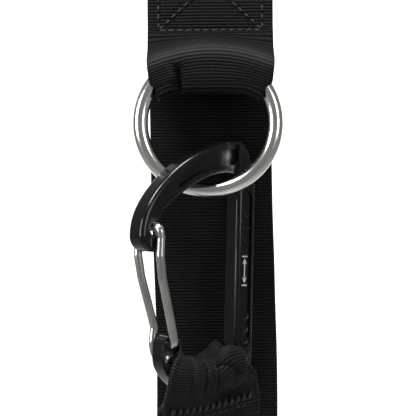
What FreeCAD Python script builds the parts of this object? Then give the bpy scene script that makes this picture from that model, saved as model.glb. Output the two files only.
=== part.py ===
"""Sewn webbing strap with a steel O-ring and a clipped wire-gate carabiner, in millimetres.

Frame: X runs across the webbing, +Y goes from the front face to the back, +Z is up.
The origin is the centre of the sewn eye at the top of the main strap.
"""
import FreeCAD, Part
import Sketcher
import math
import os

Vector = FreeCAD.Vector
Rotation = FreeCAD.Rotation
X_AXIS = Vector(1, 0, 0)
Y_AXIS = Vector(0, 1, 0)
Z_AXIS = Vector(0, 0, 1)

document = FreeCAD.newDocument("clip_strap")
sheet = document.addObject("Spreadsheet::Sheet", "Sizes")

SIZES = {
    # webbing
    "web_width": 40.0,            # all three webbings are 40 mm wide
    "strap_thickness": 2.0,       # heavy main strap
    "tab_thickness": 1.8,         # ring tab, folded double
    "sling_thickness": 1.8,       # hanging sling, folded double
    "fold_gap": 0.6,              # air left inside a folded hem
    "ply_gap": 0.02,              # between plies that are sewn together
    "neck_bend": 14.0,            # bend of a webbing where it leaves its stitching
    # main strap
    "eye_radius": 11.0,           # bar that the top eye takes
    "eye_neck_drop": 27.0,        # eye centre to where its two plies meet
    "eye_lap_drop": 62.0,         # eye centre to the end of the rear lap
    "strap_straight_drop": 68.0,  # strap is flat down to here
    "strap_bow_drop": 102.0,      # and has reached its set-back here
    "strap_set_back": 9.0,        # how far the carabiner pushes the strap back
    "strap_tail_back": 2.0,       # further set-back of the free tail
    "strap_tail_start_drop": 150.0,
    "strap_length_drop": 222.0,   # eye centre to the bottom of the tail
    "tail_hem": 26.0,             # turned-up length of the tail
    # ring tab
    "tab_top_drop": 30.5,
    "tab_sewn_drop": 64.7,        # end of the sewn part
    "tab_gap": 0.3,               # between the sewn part and the free loop
    "tab_fold_half_width": 15.4,  # the fold is squeezed into the ring
    "tab_wide_rise": 6.5,         # height above the fold where it is wide again
    "tab_fold_depth": 12.9,       # ring centre up to the middle of the fold
    "fold_run_in": 1.0,           # straight run behind the ring wire
    # box stitch of the tab
    "box_width": 33.0,
    "box_height": 31.0,
    "box_bottom_drop": 63.3,
    "thread_width": 0.9,
    "thread_height": 0.35,
    "seam_margin": 2.5,           # end of a seam to the selvedge
    "hem_seam_drop": 5.0,         # hem's raw edge to its seam
    "lap_seam_rise": 2.0,         # lap's raw edge to the box stitch
    "tack_height": 2.6,
    "tack_pitch": 2.5,
    # ring
    "ring_wire_radius": 2.4,
    "ring_inner_radius": 18.9,
    "ring_drop": 93.0,
    "ring_offset": 1.0,           # ring centre left of the strap's middle
    "ring_gap": 0.3,              # wire to webbing
    "ring_forward": 1.5,          # room to swing between the wire and the rear ply
    # carabiner
    "body_thickness": 7.2,
    "body_rounding": 1.5,
    "bow_depth": 11.0,
    "bow_corner_radius": 5.0,
    "spine_depth": 7.5,
    "body_drop": 60.6,            # bow seat to basket seat
    "basket_depth": 7.5,
    "basket_outer_radius": 10.0,
    "nose_reach": 33.2,           # spine to the middle of the nose
    "nose_drop": 20.0,
    "nose_radius": 4.75,
    "notch_radius": 2.25,
    "pivot_reach": 24.85,
    "pivot_drop": 53.6,
    "pivot_radius": 3.65,
    "pivot_thickness": 5.0,       # milled thinner, so that the gate's legs pass outside it
    "pivot_flat_margin": 4.6,
    "pivot_flat_drop": 2.0,
    "pocket_depth": 1.3,
    "panel_margin": 1.75,
    "panel_depth": 0.7,
    "pin_wall": 2.5,              # middle of the lower gate hole to the outer edge
    "pin_fall": 3.45,
    "pin_step_in": 0.8,           # the gate's upper hole from its lower one
    "pin_step_up": 4.15,
    "body_turn": 40.0,            # the carabiner hangs turned about the vertical
    "body_lean": 2.3,
    "seat_gap": 0.3,              # bow seat above the ring wire
    "seat_rise": 2.5,             # extra height where the curved ring meets the bow
    "seat_shift": 1.3,            # bow seat right of the ring's lowest point
    "crossing": 3.2,              # ring plane meets the bow this far from its corner
    # gate
    "gate_wire_radius": 1.3,
    "gate_nose_half_width": 5.6,
    "gate_pivot_half_width": 4.4,
    "gate_bend_radius": 2.6,
    "gate_fit": 0.05,
    "slot_depth": 2.0,
    "gate_swing": 28.0,
    # hanging sling
    "sling_middle": 4.5,          # sling's middle, from the bow corner towards the gate
    "sling_gap": 0.55,
    "sling_swing": 12.0,
    "sling_cushion": 3.4,         # webbing on top of the basket bar
    "sling_eye_radius": 11.0,
    "sling_eye_drop": 73.0,       # basket bottom to the lower eye's centre
    "sling_neck_rise": 27.0,
    "sling_lead": 8.0,            # eye plies run this far up inside the sewn part
    "sling_ply_gap": 0.05,
    "sling_bulge": 1.6,           # how far the gathers stand out round the bar
    "sling_shoulder": 2.4,
    "sling_sewn_drop": 2.7,       # basket bottom to the top of the sewn part
    "sling_tack_drop": 4.5,       # basket bottom to the middle of the tack
    "sling_box_below_tack": 6.5,
    "sling_box_height": 29.0,
    "sling_box_width": 33.0,
}


def fill_sheet():
    """Write every driving size as a plain number with a word for its alias."""
    for row, (alias, number) in enumerate(SIZES.items(), start=1):
        sheet.set(f"A{row}", alias)
        sheet.set(f"B{row}", str(number))
        sheet.setAlias(f"B{row}", alias)
    document.recompute()


def size(alias):
    """Read one driving size back from the sheet."""
    return float(getattr(sheet, alias))


fill_sheet()

# ---------------------------------------------------------------- derived places
ply = size("strap_thickness")
tab = size("tab_thickness")
strap_back = ply + size("ply_gap") / 2
strap_front = -strap_back
tab_front = strap_front - 2 * tab
wire = size("ring_wire_radius")
ring_radius = size("ring_inner_radius") + wire
fold_inner = wire + size("ring_gap")
ring_middle = Vector(-size("ring_offset"),
                     strap_front - size("tab_gap") - tab - size("ring_gap") - size("ring_forward") - wire,
                     -size("ring_drop"))
fold_middle = Vector(ring_middle.x, ring_middle.y, ring_middle.z + size("tab_fold_depth"))
ring_bottom = Vector(ring_middle.x, ring_middle.y, ring_middle.z - ring_radius)

corner = size("bow_corner_radius")
drop = size("body_drop")
spine_outer = corner + size("spine_depth")
basket_bottom = -drop - size("basket_depth")
bar_middle_height = -drop - size("basket_depth") / 2
nose = Vector(corner - size("nose_reach"), -size("nose_drop"), 0)
pivot = Vector(corner - size("pivot_reach"), -size("pivot_drop"), 0)
pivot_left = pivot.x - size("pivot_radius")
pin_low = Vector(pivot_left + size("pin_wall"), pivot.y - size("pin_fall"), 0)
pin_high = pin_low + Vector(size("pin_step_in"), size("pin_step_up"), 0)

# The carabiner, its gate and the sling share one frame: X along the bow, Y through it.
lean = Rotation(Y_AXIS, size("body_lean"))
turn = Rotation(Z_AXIS, size("body_turn"))
body_rotation = turn.multiply(lean)
seat_height = ring_bottom.z + wire + size("seat_gap") + size("seat_rise")
seat_point = Vector(ring_bottom.x + size("seat_shift"), ring_middle.y, seat_height)
body_base = seat_point + body_rotation.multVec(Vector(size("crossing"), 0, 0))
body_placement = FreeCAD.Placement(body_base, body_rotation)


# ---------------------------------------------------------------- drawing helpers
def line(start, end):
    """Straight edge between two points."""
    return Part.makeLine(start, end)


def arc(start, middle, end):
    """Circular edge through three points."""
    return Part.Arc(start, middle, end).toShape()


def spline(points, start_direction, end_direction):
    """Smooth edge through a few points, with its direction set at both ends."""
    curve = Part.BSplineCurve()
    curve.interpolate(Points=points, InitialTangent=start_direction, FinalTangent=end_direction)
    return curve.toShape()


def edge_through(points):
    """Straight edge for two points, circular edge for three."""
    return line(*points) if len(points) == 2 else arc(*points)


def rounded_route(points, radius):
    """Straight runs through the points, joined by tangent arcs as large as the radius allows.

    Each run is a list of two points and each arc a list of three.
    """
    route = []
    start = points[0]
    for before, here, after in zip(points, points[1:], points[2:]):
        to_before = (before - here).normalize()
        to_after = (after - here).normalize()
        half_turn = (math.pi - to_before.getAngle(to_after)) / 2
        room = 0.48 * min((before - here).Length, (after - here).Length)
        reach = min(radius * math.tan(half_turn), room)
        real_radius = reach / math.tan(half_turn)
        first = here + to_before * reach
        last = here + to_after * reach
        bisector = (to_before + to_after).normalize()
        crown = here + bisector * (math.hypot(real_radius, reach) - real_radius)
        route.append([start, first])
        route.append([first, crown, last])
        start = last
    route.append([start, points[-1]])
    return route


def shifted(points, distance):
    """One run or arc of a route, moved sideways to its left by a distance."""
    if len(points) == 2:
        along = (points[1] - points[0]).normalize()
        aside = Vector(-along.y, along.x, 0) * distance
        return [point + aside for point in points]
    centre = arc(*points).Curve.Center
    radius = (points[0] - centre).Length
    turns_left = (points[1] - points[0]).cross(points[2] - points[1]).z > 0
    scale = (radius - distance if turns_left else radius + distance) / radius
    return [centre + (point - centre) * scale for point in points]


def band(route, thickness):
    """Closed outline of a band of even thickness laid along a route, cut square at its ends."""
    left = [shifted(points, thickness / 2) for points in route]
    right = [shifted(points, -thickness / 2) for points in route]
    back = [points[::-1] for points in right[::-1]]
    caps = [[left[-1][-1], back[0][0]], [back[-1][-1], left[0][0]]]
    outline = left + [caps[0]] + back + [caps[1]]
    return [edge_through(points) for points in outline]


def tangent_point(outside, radius, side):
    """Point where a line from outside touches the circle about the origin, on one side."""
    distance = outside.Length
    along = outside * (radius ** 2 / distance ** 2)
    across = Vector(-outside.y, outside.x, 0) * (side * radius)
    return along + across * (math.sqrt(distance ** 2 - radius ** 2) / distance ** 2)


def eye_route(lead_in, neck, radius, lead_out, bend):
    """Route from a lead-in past the neck, round the eye about the origin and on to the rest.

    The neck is the entry side of the eye; the exit side mirrors it.
    """
    exit_neck = Vector(-neck.x, neck.y, 0)
    side = math.copysign(1, -neck.x * neck.y)
    entry_touch = tangent_point(neck, radius, side)
    exit_touch = tangent_point(exit_neck, radius, -side)
    crown = Vector(0, math.copysign(radius, -neck.y), 0)
    return (rounded_route([lead_in, neck, entry_touch], bend)
            + [[entry_touch, crown, exit_touch]]
            + rounded_route([exit_touch, exit_neck] + lead_out, bend))


# ---------------------------------------------------------------- document helpers
def new_body(label, placement=None):
    """PartDesign body with its label and placement."""
    body = document.addObject("PartDesign::Body", label)
    body.Label = label
    if placement is not None:
        body.Placement = placement
    return body


def origin_plane(body, role):
    """One of the body's own origin planes."""
    return next(item for item in body.Origin.OriginFeatures if item.Role == role)


def new_sketch(body, name, role, outlines, height=0.0):
    """Sketch on an origin plane of the body, holding the given closed outlines."""
    sketch = body.newObject("Sketcher::SketchObject", name)
    sketch.AttachmentSupport = [(origin_plane(body, role), "")]
    sketch.MapMode = "FlatFace"
    sketch.AttachmentOffset = FreeCAD.Placement(Vector(0, 0, height), Rotation())
    for edge in outlines:
        sketch.addGeometry(edge_geometry(edge), False)
    return sketch


def edge_geometry(edge):
    """Sketch geometry of one planar edge."""
    curve = edge.Curve
    first, last = edge.ParameterRange
    if isinstance(curve, Part.Line):
        return Part.LineSegment(edge.valueAt(first), edge.valueAt(last))
    if isinstance(curve, Part.Circle):
        if abs(last - first) > 2 * math.pi - 1e-6:
            return Part.Circle(curve.Center, Z_AXIS, curve.Radius)
        return Part.Arc(edge.valueAt(first), edge.valueAt((first + last) / 2), edge.valueAt(last))
    return curve


def polygon(points):
    """Edges of a closed polygon."""
    return [line(a, b) for a, b in zip(points, points[1:] + points[:1])]


def rectangle(left, bottom, right, top):
    """Edges of an upright rectangle."""
    return polygon([Vector(left, bottom, 0), Vector(right, bottom, 0),
                    Vector(right, top, 0), Vector(left, top, 0)])


def bind(feature, name, expression):
    """Tie one property of a feature to the sheet."""
    feature.setExpression(name, expression)


def pad(body, sketch, expression, both_ways=True):
    """Extrude a sketch by a length from the sheet."""
    feature = body.newObject("PartDesign::Pad", sketch.Name + "_pad")
    feature.Profile = sketch
    feature.Midplane = both_ways
    bind(feature, "Length", expression)
    sketch.Visibility = False
    return feature


def pocket(body, sketch, expression, inward, both_ways=False):
    """Cut a sketch into the body by a depth from the sheet; inward flips the direction."""
    document.recompute()
    before = body.Shape.Volume
    feature = body.newObject("PartDesign::Pocket", sketch.Name + "_pocket")
    feature.Profile = sketch
    feature.Midplane = both_ways
    feature.Reversed = inward
    bind(feature, "Length", expression)
    document.recompute()
    if body.Shape.Volume > before - 1e-3:
        raise ValueError(sketch.Name + " cuts nothing")
    return feature


# ---------------------------------------------------------------- webbing
def webbing_body(label, outline, placement=None):
    """Webbing as one side outline, in the plane across the fabric, padded to its width."""
    body = new_body(label, placement)
    sketch = new_sketch(body, label + "_side", "YZ_Plane", outline)
    pad(body, sketch, "Sizes.web_width")
    return body


def main_strap():
    """Heavy strap: eye at the top, rear lap, flat sewn part, set-back and hemmed tail."""
    half = ply / 2
    middle = half + size("ply_gap") / 2
    neck = Vector(middle, -size("eye_neck_drop"), 0)
    lap_end = Vector(middle, -size("eye_lap_drop"), 0)
    back = size("strap_set_back") - half
    tail = back + size("strap_tail_back")
    fold = ply + size("fold_gap")
    bottom = -size("strap_length_drop") + half + fold / 2
    hanging = [Vector(-middle, -size("strap_straight_drop"), 0),
               Vector(back, -size("strap_bow_drop"), 0),
               Vector(tail, -size("strap_tail_start_drop"), 0),
               Vector(tail, bottom, 0)]
    route = eye_route(lap_end, neck, size("eye_radius") + half, hanging, size("neck_bend"))
    route.append([Vector(tail, bottom, 0), Vector(tail + fold / 2, bottom - fold / 2, 0),
                  Vector(tail + fold, bottom, 0)])
    route.append([Vector(tail + fold, bottom, 0),
                  Vector(tail + fold, bottom + size("tail_hem"), 0)])
    return webbing_body("main_strap", band(route, ply))


def ring_tab_sewn():
    """The part of the ring tab that is sewn flat on the strap, as two plies."""
    return webbing_body("ring_tab_sewn", rectangle(tab_front, -size("tab_sewn_drop"),
                                                   strap_front, -size("tab_top_drop")))


def ring_tab_loop():
    """The free loop of the tab: over the ring's top, down its front and back through it."""
    half = tab / 2
    top = -size("tab_sewn_drop") - size("tab_gap")
    radius = fold_inner + half
    back_ply = strap_front - size("tab_gap") - half
    front_ply = back_ply - tab
    wire_top = ring_middle.z + ring_radius
    back_of_fold = Vector(ring_middle.y + radius, fold_middle.z, 0)
    front_of_fold = Vector(ring_middle.y - radius, fold_middle.z, 0)
    down = rounded_route([Vector(back_ply, top - half, 0),
                          Vector(back_ply, wire_top + wire, 0),
                          back_of_fold + Vector(0, size("fold_run_in"), 0),
                          back_of_fold], size("neck_bend"))
    fold = [back_of_fold, Vector(ring_middle.y, fold_middle.z - radius, 0), front_of_fold]
    crest = Vector(ring_middle.y - radius, wire_top + radius, 0)
    up = rounded_route([front_of_fold, crest, Vector(front_ply, top - half, 0)], 4.4)
    body = webbing_body("ring_tab_loop", band(down + [fold] + up, tab))
    side = size("web_width") / 2 + 1.0
    narrow = size("tab_fold_half_width")
    low = fold_middle.z - 2 * radius
    wide_at = fold_middle.z + size("tab_wide_rise")
    corners = []
    for sign in (-1, 1):
        corners += polygon([Vector(sign * side, low, 0),
                            Vector(sign * narrow + ring_middle.x, low, 0),
                            Vector(sign * narrow + ring_middle.x, fold_middle.z - 1.0, 0),
                            Vector(sign * (side - 1.0), wide_at, 0),
                            Vector(sign * side, wide_at, 0)])
    sketch = new_sketch(body, "fold_corners", "XZ_Plane", corners)
    pocket(body, sketch, "4 * Sizes.web_width", False, both_ways=True)
    return body


# ---------------------------------------------------------------- thread
def thread_row(left, right, height, thickness):
    """One straight row of thread as a flat bar outline."""
    return rectangle(left, height - thickness / 2, right, height + thickness / 2)


def slanted_bar(start, end, thickness):
    """A flat bar outline between two points."""
    along = (end - start).normalize()
    across = Vector(-along.y, along.x, 0) * (thickness / 2)
    return polygon([start - across, end - across, end + across, start + across])


def thread_solid(outlines, surface, outward):
    """Fused flat bars of thread lying on a surface at a given depth."""
    height = size("thread_height")
    bars = []
    for outline in outlines:
        face = Part.Face(Part.Wire(outline))
        solid = face.extrude(Vector(0, 0, height))
        bars.append(solid)
    shape = bars[0].multiFuse(bars[1:]).removeSplitter() if len(bars) > 1 else bars[0]
    # drawing plane to X-Z plane, with its thickness along the outward side
    shape = shape.transformGeometry(FreeCAD.Matrix(1, 0, 0, 0,
                                                   0, 0, outward, surface,
                                                   0, 1, 0, 0,
                                                   0, 0, 0, 1))
    return shape


def thread_feature(label, shape, placement=None):
    """Thread node from a finished shape."""
    feature = document.addObject("Part::Feature", label)
    feature.Label = label
    feature.Shape = shape
    if placement is not None:
        feature.Placement = placement
    return feature


def box_outlines(middle, bottom, width, height):
    """Box with a cross in it, as thread bars."""
    thick = size("thread_width")
    left = middle - width / 2
    right = middle + width / 2
    top = bottom + height
    half = thick / 2
    return [rectangle(left, bottom - half, right, bottom + half),
            rectangle(left, top - half, right, top + half),
            rectangle(left - half, bottom - half, left + half, top + half),
            rectangle(right - half, bottom - half, right + half, top + half),
            slanted_bar(Vector(left, bottom, 0), Vector(right, top, 0), thick),
            slanted_bar(Vector(left, top, 0), Vector(right, bottom, 0), thick)]


def zigzag_outlines(left, right, middle, pitch, height):
    """Bar tack: a close zigzag with a thread bar along its lower side."""
    thick = size("thread_width")
    count = max(2, round((right - left) / pitch))
    step = (right - left) / count
    bars = [thread_row(left, right, middle - height / 2, thick)]
    for number in range(count):
        start = Vector(left + number * step, middle - height / 2, 0)
        end = Vector(left + (number + 0.5) * step, middle + height / 2, 0)
        bars.append(slanted_bar(start, end, thick))
        bars.append(slanted_bar(end, Vector(left + (number + 1) * step, middle - height / 2, 0), thick))
    return bars


def strap_threads():
    """Box stitch of the tab with its bobbin thread, the eye's bar tack and the hem's seam."""
    bottom = -size("box_bottom_drop")
    box = box_outlines(0, bottom, size("box_width"), size("box_height"))
    thread_feature("tab_box_stitch", thread_solid(box, tab_front, -1))
    rear_bottom = -size("eye_lap_drop") + size("lap_seam_rise")
    rear_height = bottom + size("box_height") - rear_bottom
    rear = box_outlines(0, rear_bottom, size("box_width"), rear_height)
    thread_feature("tab_box_bobbin", thread_solid(rear, strap_back, 1))
    half_width = size("web_width") / 2 - size("seam_margin")
    hem_middle = -size("strap_length_drop") + size("tail_hem") - size("hem_seam_drop")
    hem = zigzag_outlines(-half_width, half_width, hem_middle, size("tack_pitch"), size("tack_height"))
    tail_front = size("strap_set_back") - ply + size("strap_tail_back")
    thread_feature("tail_hem_tack", thread_solid(hem, tail_front, -1))


# ---------------------------------------------------------------- ring
def o_ring():
    """Welded ring: a round section turned about the ring's axis."""
    body = new_body("o_ring", FreeCAD.Placement(ring_middle, Rotation()))
    sketch = new_sketch(body, "ring_section", "XY_Plane", [])
    sketch.addGeometry(Part.Circle(Vector(ring_radius, 0, 0), Z_AXIS, wire), False)
    radius = sketch.addConstraint(Sketcher.Constraint("Radius", 0, wire))
    sketch.addConstraint(Sketcher.Constraint("DistanceY", -1, 1, 0, 3, 0.0))
    reach = sketch.addConstraint(Sketcher.Constraint("DistanceX", -1, 1, 0, 3, ring_radius))
    sketch.setExpression(f"Constraints[{radius}]", "Sizes.ring_wire_radius")
    sketch.setExpression(f"Constraints[{reach}]", "Sizes.ring_inner_radius + Sizes.ring_wire_radius")
    document.recompute()
    turned = body.newObject("PartDesign::Revolution", "ring_turn")
    turned.Profile = sketch
    turned.ReferenceAxis = (sketch, ["V_Axis"])
    turned.Angle = 360
    return body


# ---------------------------------------------------------------- carabiner
def body_outline():
    """Closed, smooth outline of the forged body before the notch is cut."""
    radius = size("nose_radius")
    end = size("pivot_radius")
    outer = size("basket_outer_radius")
    apex = Vector(corner - 0.6, size("bow_depth"), 0)
    shoulder_end = Vector(spine_outer, -4.0, 0)
    nose_left = nose + Vector(-radius, 0, 0)
    nose_right = nose + Vector(radius, 0, 0)
    pivot_out = pivot + Vector(-end, 0, 0)
    pivot_in = pivot + Vector(end, 0, 0)
    lip = nose + Vector(4.2, 7.8, 0)
    slant = math.sqrt(0.5)
    return [
        arc(nose_right, nose + Vector(0, -radius, 0), nose_left),
        spline([nose_left, nose + Vector(-1.9, 9.95, 0), nose + Vector(4.2, 17.4, 0),
                apex + Vector(-17.0, -5.45, 0), apex + Vector(-7.4, -1.35, 0), apex],
               Vector(0, 1, 0), Vector(1, 0, 0)),
        spline([apex, apex + Vector(5.5, -5.2, 0), shoulder_end], Vector(1, 0, 0), Vector(0, -1, 0)),
        line(shoulder_end, Vector(spine_outer, basket_bottom + outer, 0)),
        arc(Vector(spine_outer, basket_bottom + outer, 0),
            Vector(spine_outer - outer * (1 - slant), basket_bottom + outer * (1 - slant), 0),
            Vector(spine_outer - outer, basket_bottom, 0)),
        line(Vector(spine_outer - outer, basket_bottom, 0), Vector(pivot_in.x + 9.6, basket_bottom, 0)),
        spline([Vector(pivot_in.x + 9.6, basket_bottom, 0), pivot + Vector(1.25, -11.1, 0),
                pivot_out + Vector(0.6, -6.0, 0), pivot_out], Vector(-1, 0, 0), Vector(0, 1, 0)),
        arc(pivot_out, pivot + Vector(0, end, 0), pivot_in),
        spline([pivot_in, pivot_in + Vector(2.8, -5.2, 0), Vector(pivot_in.x + 9.1, -drop, 0)],
               Vector(0, -1, 0), Vector(1, 0, 0)),
        line(Vector(pivot_in.x + 9.1, -drop, 0), Vector(0, -drop, 0)),
        arc(Vector(0, -drop, 0), Vector(corner * slant, corner * (1 - slant) - drop, 0),
            Vector(corner, corner - drop, 0)),
        line(Vector(corner, corner - drop, 0), Vector(corner, -corner, 0)),
        arc(Vector(corner, -corner, 0), Vector(corner * slant, -corner * (1 - slant), 0),
            Vector(0, 0, 0)),
        spline([Vector(0, 0, 0), Vector(-7.9, -1.7, 0), Vector(-16.0, -5.9, 0), lip],
               Vector(-1, 0, 0), Vector(-0.75, -0.66, 0)),
        spline([lip, nose + Vector(3.2, 3.8, 0), nose_right], Vector(-0.75, -0.66, 0), Vector(0, -1, 0)),
    ]


def notch_outline():
    """Hooked notch that takes the gate's cross-piece: round seat, open towards the gate."""
    radius = size("notch_radius")
    seat = nose + Vector(0.55, 2.15, 0)
    start = seat + Vector(radius * math.cos(math.radians(125)), radius * math.sin(math.radians(125)), 0)
    floor = seat + Vector(0, -radius, 0)
    lip = nose + Vector(0.9, 4.8, 0)
    mouth = nose + Vector(7.5, 9.0, 0)
    return [arc(start, seat + Vector(-radius, 0, 0), floor),
            line(floor, floor + Vector(3.0, 0, 0)),
            line(floor + Vector(3.0, 0, 0), Vector(mouth.x, floor.y - 1.2, 0)),
            line(Vector(mouth.x, floor.y - 1.2, 0), Vector(mouth.x, lip.y + 3.0, 0)),
            line(Vector(mouth.x, lip.y + 3.0, 0), Vector(lip.x + 2.6, lip.y + 2.3, 0)),
            line(Vector(lip.x + 2.6, lip.y + 2.3, 0), lip),
            line(lip, start)]


def bow_pocket_outline():
    """Leaf-shaped recess on the bow: pointed towards the nose, squared towards the spine."""
    tip = Vector(-19.6, -5.6, 0)
    top_end = Vector(4.0, 8.4, 0)
    low_end = Vector(2.9, 3.0, 0)
    return [spline([tip, Vector(-13.6, 2.4, 0), Vector(-4.4, 7.0, 0), top_end],
                   Vector(0.35, 0.93, 0), Vector(0.97, 0.2, 0)),
            line(top_end, Vector(4.6, 4.9, 0)),
            line(Vector(4.6, 4.9, 0), low_end),
            spline([low_end, Vector(-5.4, 1.5, 0), Vector(-13.2, -1.6, 0), tip],
                   Vector(-1, -0.05, 0), Vector(-0.83, -0.56, 0))]


def spine_panel_outline():
    """Long shallow panel with round ends down the face of the spine."""
    margin = size("panel_margin")
    left = corner + margin - 0.3
    right = spine_outer - margin
    middle = (left + right) / 2
    radius = (right - left) / 2
    top = -5.0 - radius
    bottom = -drop + 6.0 + radius
    return [line(Vector(left, bottom, 0), Vector(left, top, 0)),
            arc(Vector(left, top, 0), Vector(middle, top + radius, 0), Vector(right, top, 0)),
            line(Vector(right, top, 0), Vector(right, bottom, 0)),
            arc(Vector(right, bottom, 0), Vector(middle, bottom - radius, 0), Vector(left, bottom, 0))]


def cut_face(body, name, outline, depth):
    """Cut the same recess into the front and the back face of the body."""
    face = size("body_thickness") / 2
    front = new_sketch(body, name + "_front", "XZ_Plane", outline, height=face)
    pocket(body, front, depth, False)
    back = new_sketch(body, name + "_back", "XZ_Plane", outline, height=-face)
    pocket(body, back, depth, True)


def carabiner_body():
    """Forged body: padded outline, rounded edges, recesses, milled ends, notch and gate holes."""
    body = new_body("carabiner_body", body_placement)
    outline = new_sketch(body, "body_outline", "XZ_Plane", body_outline())
    forged = pad(body, outline, "Sizes.body_thickness")
    document.recompute()
    rim = [f"Edge{number}" for number, edge in enumerate(forged.Shape.Edges, start=1)
           if abs(abs(edge.CenterOfMass.y) - size("body_thickness") / 2) < 1e-4]
    rounding = body.newObject("PartDesign::Fillet", "body_rounding")
    rounding.Base = (forged, rim)
    bind(rounding, "Radius", "Sizes.body_rounding")
    cut_face(body, "bow_pocket", bow_pocket_outline(), "Sizes.pocket_depth")
    cut_face(body, "spine_panel", spine_panel_outline(), "Sizes.panel_depth")
    reach = size("pivot_radius") + size("pivot_flat_margin")
    flat = Part.makeCircle(reach, pivot - Vector(0, size("pivot_flat_drop"), 0))
    cut_face(body, "pivot_flat", [flat], "(Sizes.body_thickness - Sizes.pivot_thickness) / 2")
    notch = new_sketch(body, "notch", "XZ_Plane", notch_outline())
    pocket(body, notch, "2 * Sizes.body_thickness", False, both_ways=True)
    hole_radius = size("gate_wire_radius") + size("gate_fit")
    low_hole = new_sketch(body, "low_hole", "XZ_Plane", [Part.makeCircle(hole_radius, pin_low)])
    pocket(body, low_hole, "2 * Sizes.body_thickness", False, both_ways=True)
    slot = new_sketch(body, "high_slot", "XZ_Plane", slot_outline(hole_radius),
                      height=size("pivot_thickness") / 2)
    pocket(body, slot, "Sizes.slot_depth", False)
    return body


def slot_outline(radius):
    """Short curved slot about the lower hole, in which the upper end of the gate travels."""
    reach = (pin_high - pin_low).Length
    start = math.atan2(pin_high.y - pin_low.y, pin_high.x - pin_low.x)
    end = start - math.radians(size("gate_swing") + 1.0)

    def place(angle, distance):
        return pin_low + Vector(math.cos(angle), math.sin(angle), 0) * distance

    return [arc(place(start, reach - radius), place(start, reach) + end_bulge(start, radius),
                place(start, reach + radius)),
            arc(place(start, reach + radius), place((start + end) / 2, reach + radius),
                place(end, reach + radius)),
            arc(place(end, reach + radius), place(end, reach) - end_bulge(end, radius),
                place(end, reach - radius)),
            arc(place(end, reach - radius), place((start + end) / 2, reach - radius),
                place(start, reach - radius))]


def end_bulge(angle, radius):
    """Step from a slot end's middle to its furthest point."""
    return Vector(-math.sin(angle), math.cos(angle), 0) * radius


def gate_wire():
    """Sprung gate: one wire from the lower hole up, across the notch and down to the slot."""
    front = -size("gate_nose_half_width")
    low_front = -size("gate_pivot_half_width")
    cross = nose + Vector(0.35, 2.8, 0)
    shape_points = [pivot + Vector(-1.55, 5.6, 0), nose + Vector(2.0, -12.5, 0),
                    nose + Vector(0.8, -6.0, 0), nose + Vector(0.9, -0.5, 0)]
    spread = [low_front - 0.1, front + 0.3, front, front]
    up = [Vector(point.x, depth, point.y) for point, depth in zip(shape_points, spread)]
    down = [Vector(point.x, -point.y, point.z) for point in reversed(up)]
    face = size("pivot_thickness") / 2
    points = [Vector(pin_high.x, -face + size("slot_depth") - 0.1, pin_high.y),
              Vector(pin_high.x, low_front, pin_high.y)]
    points += up
    points += [Vector(cross.x, front, cross.y), Vector(cross.x, -front, cross.y)]
    points += down
    points += [Vector(pin_low.x - 1.0, -low_front, pin_low.y + 4.5),
               Vector(pin_low.x, -low_front, pin_low.y),
               Vector(pin_low.x, -face - 0.1, pin_low.y)]
    path = Part.Wire([edge_through(run) for run in rounded_route(points, size("gate_bend_radius"))])
    start = points[0]
    section = Part.Wire([Part.makeCircle(size("gate_wire_radius"), start, (points[1] - start))])
    feature = document.addObject("Part::Feature", "gate_wire")
    feature.Label = "gate_wire"
    feature.Shape = path.makePipeShell([section], True, True)
    feature.Placement = body_placement
    expected = math.pi * size("gate_wire_radius") ** 2 * path.Length
    print("gate wire volume against section times length:", round(feature.Shape.Volume / expected, 4))
    return feature


# ---------------------------------------------------------------- hanging sling
def foot_outline(gap):
    """Outline of the basket with the foot of the spine and the pivot end, grown by a gap."""
    top = bar_middle_height + 34.0
    slant = math.sqrt(0.5)
    outer = size("basket_outer_radius")
    low = basket_bottom - gap
    seat = gap - drop
    left = pivot_left - gap
    inner_left = pivot.x + size("pivot_radius") + gap
    inner_right = corner - gap
    right = spine_outer + gap
    round_out = Vector(spine_outer - outer * (1 - slant), basket_bottom + outer * (1 - slant), 0)
    round_in = Vector(corner * slant, corner * (1 - slant) - drop, 0)
    step = gap * slant
    return [line(Vector(inner_left, top, 0), Vector(inner_left, pivot.y, 0)),
            arc(Vector(inner_left, pivot.y, 0), Vector(inner_left + 2.5, pivot.y - 4.9, 0),
                Vector(inner_left + 9.1, seat, 0)),
            line(Vector(inner_left + 9.1, seat, 0), Vector(0, seat, 0)),
            arc(Vector(0, seat, 0), round_in + Vector(-step, step, 0),
                Vector(inner_right, corner - drop, 0)),
            line(Vector(inner_right, corner - drop, 0), Vector(inner_right, top, 0)),
            line(Vector(inner_right, top, 0), Vector(right, top, 0)),
            line(Vector(right, top, 0), Vector(right, basket_bottom + outer, 0)),
            arc(Vector(right, basket_bottom + outer, 0), round_out + Vector(step, -step, 0),
                Vector(spine_outer - outer, low, 0)),
            line(Vector(spine_outer - outer, low, 0), Vector(left + 16.9, low, 0)),
            arc(Vector(left + 16.9, low, 0), Vector(left + 3.6, pivot.y - 9.8, 0),
                Vector(left, pivot.y, 0)),
            line(Vector(left, pivot.y, 0), Vector(left, top, 0)),
            line(Vector(left, top, 0), Vector(inner_left, top, 0))]


def clearance_tools():
    """Room that the basket, spine foot and pivot end need while the sling swings."""
    gap = size("sling_gap")
    thickness = size("body_thickness") + 2 * gap
    foot = Part.Face(Part.Wire(foot_outline(gap))).extrude(Vector(0, 0, thickness))
    foot.translate(Vector(0, 0, -thickness / 2))
    foot.rotate(Vector(0, 0, 0), X_AXIS, 90)
    axis_point = Vector(0, 0, bar_middle_height)
    steps = 4
    copies = []
    for number in range(steps + 1):
        copy = foot.copy()
        copy.rotate(axis_point, X_AXIS, number * size("sling_swing") / steps)
        copies.append(copy)
    return copies


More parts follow.
